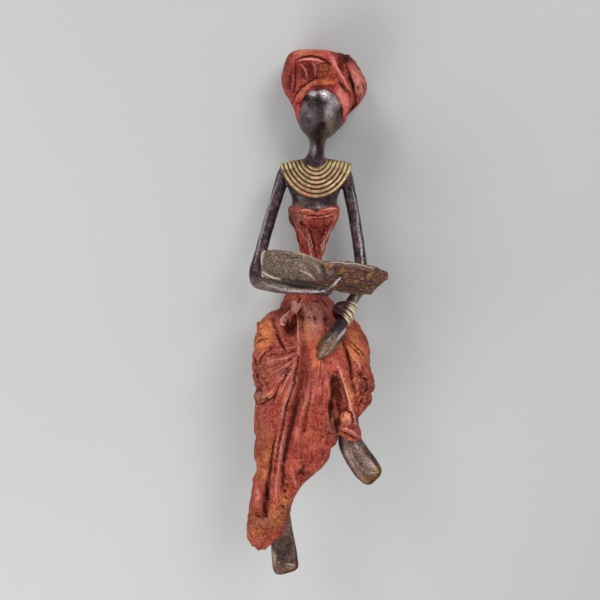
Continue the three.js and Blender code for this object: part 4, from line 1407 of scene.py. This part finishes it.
# The pale patches are painted highlight on the forehead, face and neck, with a little ochre in the forehead's
# highlight; the under patches are painted shade under the turban, chin, collar and book and at the wrist, and a painted
# dark reflection down the middle of the face; the worn patches lighten rubbed places and are partly painted highlight
# on the forearm and hand.
SKIN_SPOTS = spots("""
worn  331 124 5 10 0 0.6  328 350 10 8 -50 1  332 340 8 5 -50 0.5  284 288 30 4 6 0.9  356 300 3 9 20 0.6
worn  334 283 8 3 -45 0.6  262 278 6 6 0 0.3  324 140 3 10 0 0.3  337 202 5 5 0 0.4  298 205 6 3 0 0.4
ochre  320 348 3.5 9 35 1  327 350 9 6 -50 0.6  323 341 4 4 0 0.7  313 94 4 3 0 0.3
pale  312 92.5 4 3.8 0 1  328 95 8 5 20 0.7  335 102 6 9 20 0.75  330 111 4 8 0 0.6  304 107 3 5 0 0.25
pale  310 114 6 4 0 0.12  313 148 3 8 0 0.18  326 152 3 8 0 0.2
under  316 201 12 4 0 0.6  345 300 8 6 0 0.7  337 318 8 9 0 0.85  318 119 6.5 24 0 1  319 100 5 8 0 0.6
under  306 98 4 4 0 0.5  308 120 8 8 0 0.35  318 150 3.4 16 0 0.75  303 285 22 2.4 6 0.8  349 296 5 5 0 0.8
under  285 188 5 10 20 0.4  318 165 12 4 0 0.6  348 190 4 12 0 0.4  318 86 16 3 0 0.8
""")


def skin():
    # the chest sinks a little inside the bodice
    chest = [(ring - ring.mean(0)) * (0.9 if ring[0, 2] < 78.6 else 1) + ring.mean(0)
             for ring in levels(TORSO, np.linspace(76.5, 99, 60), 120, 2.2)]
    shells = [
        chest,
        levels(HEAD, np.linspace(95, 136, 110), 120, 2),
        limb(RIGHT_ARM, 160, 32, (1, 0, 0)),
        limb(LEFT_ARM, 160, 32, (1, 0, 0)),
        limb(LEFT_HAND, 60, 36, (0.85, 0.5, 0.1)),
        limb(LEFT_THUMB, 30, 20, (0.85, 0.5, 0.1)),
        limb(RIGHT_PALM, 40, 30, (0.2, -0.45, 0.85)),
        *(limb(rows, 40, 20, (1, 0, 0)) for rows in RIGHT_FINGERS),
    ]
    surface = Surface(fused("head_and_arms", [loft(shell) for shell in shells], 0.42))
    surface.relax(6)
    push, dark, _ = surface.carve(HAND_FOLDS)
    surface.push(push + 0.1 * surface.waves(2.6, 31) + 0.12 * surface.waves(7, 32))
    surface.level_off()
    layers = surface.patches(SKIN_SPOTS)
    # pale and dark take painted highlight and painted shade
    layers["pale"] = np.maximum(layers["pale"], surface.drawn(HAND_PAINTED_HIGHLIGHTS))
    layers["dark"] = np.maximum.reduce([
        0.6 * dark, surface.drawn(HAND_PAINTED_SHADE), smoothstep(0.05, 0.4, surface.hollow(16)), layers.pop("under")])
    surface.paint(warm=np.zeros(surface.count), **layers)
    return surface


def foot(name, rows, wide, brown, colours, glints):
    surface = Surface(fused(name, [loft(limb(rows, 110, 60, wide))], 0.4))
    surface.relax(5)
    surface.push(0.12 * surface.waves(3, 41) + 0.12 * surface.waves(8, 42))
    surface.level_off()
    layers = surface.patches(colours)
    layers["dark"] = np.maximum(smoothstep(0.08, 0.5, surface.hollow(16)), layers["dark"])
    surface.paint(pale=surface.drawn(glints), warm=np.full(surface.count, brown), **layers)
    return surface


# Collar, bracelets and book

COLLAR_RINGS = 7
COLLAR_SIDES = 220
# The pale patches are painted highlight on the top of the collar; the worn patches are reddish-brown colour of its own.
COLLAR_SPOTS = spots("""
worn  306 193 8 5 15 1  288 182 8 8 0 0.3  330 193 10 4 -20 0.3  316 184 10 6 0 0.3
pale  288 165 9 5 0 1  335 165 10 4 0 1  347 169 5 6 0 0.9  300 168 4 3 0 0.5
""")


def collar_point(angle, reach):
    """Points of the collar at angles round the neck (0 in front), as a share of the way out."""
    angle, reach = np.broadcast_arrays(np.asarray(angle, float), np.asarray(reach, float))
    front = np.maximum(0, np.cos(angle))
    behind = np.maximum(0, -np.cos(angle))
    deep = 0.95 + (np.where(front > 0, 0.62, 0.5) - 0.95) * (front + behind) * reach
    radius = 4.2 + (16.6 - 4.2) * reach
    drop = reach * (1.8 + 10.9 * front ** 1.5 + 6 * behind) + 0.7 * reach ** 3 + 3 * front ** 1.5
    return np.stack([0.2 + radius * np.sin(angle), 20.4 - radius * np.cos(angle) * deep, 100 - drop], axis=-1)


def collar():
    share = np.tile(np.linspace(0, 1, 11)[:-1], COLLAR_RINGS)
    bulge = 1 - np.abs(2 * share - 1) ** 4
    # rings from the neck outwards, then the rim and the plain underside
    reach = np.append((np.repeat(np.arange(COLLAR_RINGS), 10) + share) / COLLAR_RINGS, [1, 1, 0.97, 0.5, 0])
    lift = np.append(-0.3 + 0.75 * bulge, [-0.3, -1.2, -2.4, -2.6, -2.6])
    groove = np.append(1 - bulge, [0.3, 0.6, 0.8, 1, 1])
    step = 0.02
    rings = []
    for angle in turns(COLLAR_SIDES):
        outer = np.maximum(reach, step)
        around = collar_point(angle + step, outer) - collar_point(angle - step, outer)
        outward = collar_point(angle, reach + step) - collar_point(angle, reach - step)
        rings.append(collar_point(angle, reach) + unit(np.cross(outward, around)) * lift[:, None])
    surface = Surface(built("collar", [loft(rings, closed=True)]))
    surface.push(0.08 * surface.waves(2, 51) + 0.12 * surface.waves(6, 52))
    dark = smoothstep(0.07, 0.42, np.tile(groove, COLLAR_SIDES) + 0.12 * surface.waves(1.2, 53))
    surface.paint(dark=dark, **surface.patches(COLLAR_SPOTS))
    return surface


BANGLES = 8
BANGLE_SIDES = 12
BANGLE_RADIUS = 4.7
WIRE = 0.42


def bracelets():
    """Thin loose rings, one against the other, that fan out a little round the wrist."""
    wrist = along(numbered(LEFT_ARM), 8.35)[0, :3]
    way = unit(along(numbered(LEFT_ARM), 9.6)[0, :3] - wrist)
    aside = np.array([1.0, 0, 0.1])
    c, s = np.cos(turns(BANGLE_SIDES)), np.sin(turns(BANGLE_SIDES))
    shells, outer = [], []
    for i in range(BANGLES):
        place = i / (BANGLES - 1) - 0.5
        tilt = (0.05 * math.sin(5 * i), 0.06 * math.cos(7 * i), 0.05 * math.sin(9 * i))
        axis = unit(way - 0.7 * place * aside + tilt)
        across = unit(np.array([1.0, 0, 0]) - axis * axis[0])
        up = np.cross(axis, across)
        radius = BANGLE_RADIUS + 0.25 * math.sin(4 * i + 1)
        middle = wrist + way * 7.2 * place + across * (0.3 * math.sin(3 * i) - 0.9)
        rings = []
        for angle in turns(80):
            out = across * math.cos(angle) + up * math.sin(angle)
            rings.append(middle + out * radius + out * WIRE * c[:, None] + axis * WIRE * s[:, None])
            outer += [out @ unit(np.array([0.9, -0.35, -0.1]))] * BANGLE_SIDES
        shells.append(loft(rings, closed=True))
    surface = Surface(built("bracelets", shells))
    surface.push(0.05 * surface.waves(1.5, 55))
    # outer is how squarely each point of a ring faces to her left and a little forward: that side is painted as
    # highlight, the far side as painted shade
    outer = np.array(outer)
    surface.paint(dark=0.6 * smoothstep(0.2, -0.4, outer), worn=smoothstep(0.35, 0.8, outer))
    return surface


# A row of the book gives x, then y and z of its foot, and its height. It leans back by BOOK_TILT.
BOOK = table("""
-23.8 -9.4 54.6 12.2
-23 -10.2 53.4 15.2
-17 -12.8 52.2 18.2
-10 -15.6 51.8 18.6
-3 -18.4 51.4 17.8
2.4 -20.2 50.8 16.2
8 -18.4 49.4 17.2
14 -15.6 47.4 18.8
20 -12.9 45.9 18
24.2 -11.1 45.4 17
25.2 -11.2 46.4 15.4
27.6 -11.9 49.7 9.6
30.4 -12.7 53.5 3
31.3 -12.9 54.6 0.9
""")
BOOK_TILT = math.radians(30)
BOOK_FOLDS = strokes("""
0.4 1.2 264 250 261.5 258 261 268 264 273 272 277 280 281
-0.4 1.2 267 254 264.5 262 266 269 272 273 280 277
0.3 1.4 270 250 285 250 300 254 312 259 322 264
-0.5 2.4 300 262 312 268 320 276
0.5 2 308 260 318 268 324 278
-0.9 1.8 322 263 324 272 325 284
-0.3 1.2 345 268 358 270 372 273
-0.3 1.2 338 276 352 281 366 285
0.3 1.5 335 264 355 266 375 271
-0.35 1.2 349 289 362 289 372 287
""")
# Dark lines of the rims, the spine and the pages; the wide lines along the lower edges are painted shade.
BOOK_DARK = strokes("""
0.6 0.9 267 254 264.5 262 266 269 273 273.5 281 277.5
0.95 2.4 281 279.5 290 280.5 301 282 312 283.5 324 286
0.5 1.6 280 254 292 256 304 259
0.6 1 309 268 315 275 318 282
0.6 1 322 264 324 272 326 279
0.7 1.6 326 283 336 281
0.5 0.8 337 268 355 270 372 274
0.5 0.8 342 276 356 279 370 281
0.7 1.4 340 289 355 291 370 293
0.5 1 345 284 360 286 374 286
0.7 1.2 333 270 328 277
""")
# Painted highlight along the book's edges and rims.
BOOK_BRIGHT = strokes("""
0.9 1 265 250 262 254 261 262 260.5 269
0.85 0.9 261 271 267 275 274 277.5 281 280
0.7 0.7 268 249 285 249.5 300 252.5 312 257 322 262
0.6 0.8 326 262.5 345 262.5 360 264.5 374 268
0.4 1.4 300 270 308 274 315 280
0.7 0.8 286 279 289 282
0.7 0.8 292 278 295 282
0.4 0.8 316 266 320 274
""")
# Painted shade under the lower edge, on the downturned part of the right leaf and by the spine.
BOOK_SPOTS = spots("""
dark  305 284 20 4 8 0.9  350 287 20 5 0 0.6  324 276 4 8 0 0.4  335 272 5 5 0 0.35
""")


def book():
    x = np.linspace(BOOK[0][0], BOOK[-1][0], 150)
    y, z, height = along(BOOK, x).T[:, :, None]
    spine = 0.66 * np.exp(-(((x - 2.4) / 2.2) ** 2))[:, None]
    u, v = corner(turns(96), 3.2)
    rise = height / 2 * (1 + u)
    thick = 1.7 * v + 1.2 * (1 - u * u) - spine
    rings = np.stack([
        np.broadcast_to(x[:, None], rise.shape),
        y - rise * math.sin(BOOK_TILT) - thick * math.cos(BOOK_TILT),
        z + rise * math.cos(BOOK_TILT) - thick * math.sin(BOOK_TILT)], axis=-1)
    surface = Surface(fused("book", [loft(rings)], 0.4))
    surface.relax(3)
    push, dark, bright = surface.carve(BOOK_FOLDS)
    push += 0.25 * waves(surface.points * (0.4, 1, 1), 2.2, 57) + 0.2 * surface.waves(1.2, 58)
    surface.push(push)
    surface.relax(1)
    surface.level_off()
    # the left half is pitted, the right half streaked with ochre
    across = picture(surface.points)[:, 0]
    pitted = smoothstep(322, 312, across) * smoothstep(0, 0.4, surface.seen())
    deep = smoothstep(0.05, 0.4, surface.hollow(16))
    shade = surface.patches(BOOK_SPOTS)["dark"]
    surface.paint(dark=np.maximum.reduce([0.5 * dark, deep, shade, surface.drawn(BOOK_DARK)]),
                  bright=np.minimum(np.maximum(0.5 * bright, surface.drawn(BOOK_BRIGHT)), 0.9),
                  ochre=smoothstep(296, 334, across), pitted=pitted)
    return surface


# The dark patches are painted shade beside the hem and on the foot; the worn patches lighten rubbed places and the
# foot's lit side, partly painted highlight; the glints are painted glints.
RIGHT_FOOT_SPOTS = spots("""
ochre  290 570 8 3.6 0 1  278 570 5 3 0 0.4  291 508 3 8 0 0.4
worn  271 552 3 14 -8 0.8  286 526 6 10 0 0.6  292 545 2 14 -10 0.35
dark  283 552 6 16 -6 0.5  277 545 2.4 14 -6 0.6
""")
RIGHT_FOOT_GLINTS = strokes("""
0.6 0.8 284 564.5 290 564.5 295 566
0.6 0.8 279 562
0.7 0.7 268 551 270 558
""")
# As on the right foot: dark is painted shade, worn is partly painted highlight.
LEFT_FOOT_SPOTS = spots("""
ochre  379 472 5 8 20 0.9  369 478 9 3 0 0.9  352 447 6 5 0 0.2
worn  355 447 8 7 0 0.45  366 463 14 9 40 0.3  350 458 3 10 -30 0.3
dark  343 447 4 6 0 0.6  375 455 3 14 -40 0.5  361 466 4 10 -35 0.35
""")
LEFT_FOOT_GLINTS = strokes("""
0.4 0.8 350 447 352 456 357 464 362 470 367 474 378 472
0.45 1.6 354 443 358 449
0.3 0.8 371 462 377 470
""")

brown_bronze = dark_bronze()
turban().finish(red_patina("crimson_patina", "8b2723", "b84943", "c86259", "ea9084"))
dress().finish(red_patina("red_patina", "852b23", "ae4f40", "be6455", "e2a190"))
skin().finish(brown_bronze)
foot("right_foot", RIGHT_FOOT, (1, 0, 0), 0.9, RIGHT_FOOT_SPOTS, RIGHT_FOOT_GLINTS).finish(brown_bronze)
foot("left_foot", LEFT_FOOT, (0.82, 0.12, 0.45), 0.8, LEFT_FOOT_SPOTS, LEFT_FOOT_GLINTS).finish(brown_bronze)
collar().finish(bare_gold())
bracelets().finish(wire_with_painted_light())
book().finish(book_bronze())


# Floor and light

def area_light(name, place, aim, size, watts):
    data = bpy.data.lights.new(name, "AREA")
    data.shape = "RECTANGLE"
    data.size, data.size_y = size
    data.energy = watts
    lamp = bpy.data.objects.new(name, data)
    lamp.location = to_frame(place)
    way = lamp.location - Vector(to_frame(aim))
    lamp.rotation_euler = way.to_track_quat("Z", "Y").to_euler()
    bpy.context.collection.objects.link(lamp)


FLOOR = 6  # half a side in metres
floor_mesh = bpy.data.meshes.new("floor")
floor_mesh.from_pydata([(-FLOOR, -FLOOR, 0), (FLOOR, -FLOOR, 0), (FLOOR, FLOOR, 0), (-FLOOR, FLOOR, 0)], [],
                       [(0, 1, 2, 3)])
floor = bpy.data.objects.new("floor", floor_mesh)
bpy.context.collection.objects.link(floor)
pale = Finish("pale_floor")
pale_base = pale.blend(pale.noise(400, 2), 0.3, 0.7, "afb0af", "b4b4b2")
floor_mesh.materials.append(pale.surface(pale_base, 0.85, 0, 0.3))

area_light("key_right", (560, -1250, 950), (0, 0, 20), (0.7, 0.7), 15.5)
area_light("key_left", (-650, -900, 1150), (0, 0, 20), (0.45, 0.45), 7)
area_light("fill_low", (-400, -520, -380), (0, 0, -40), (0.7, 0.5), 4)

world = bpy.data.worlds.new("studio")
world.use_nodes = True
sky = world.node_tree.nodes["Background"]
sky.inputs[0].default_value = (0.92, 0.95, 1, 1)
sky.inputs[1].default_value = 0.43
bpy.context.scene.world = world
bpy.context.scene.view_settings.view_transform = "Standard"
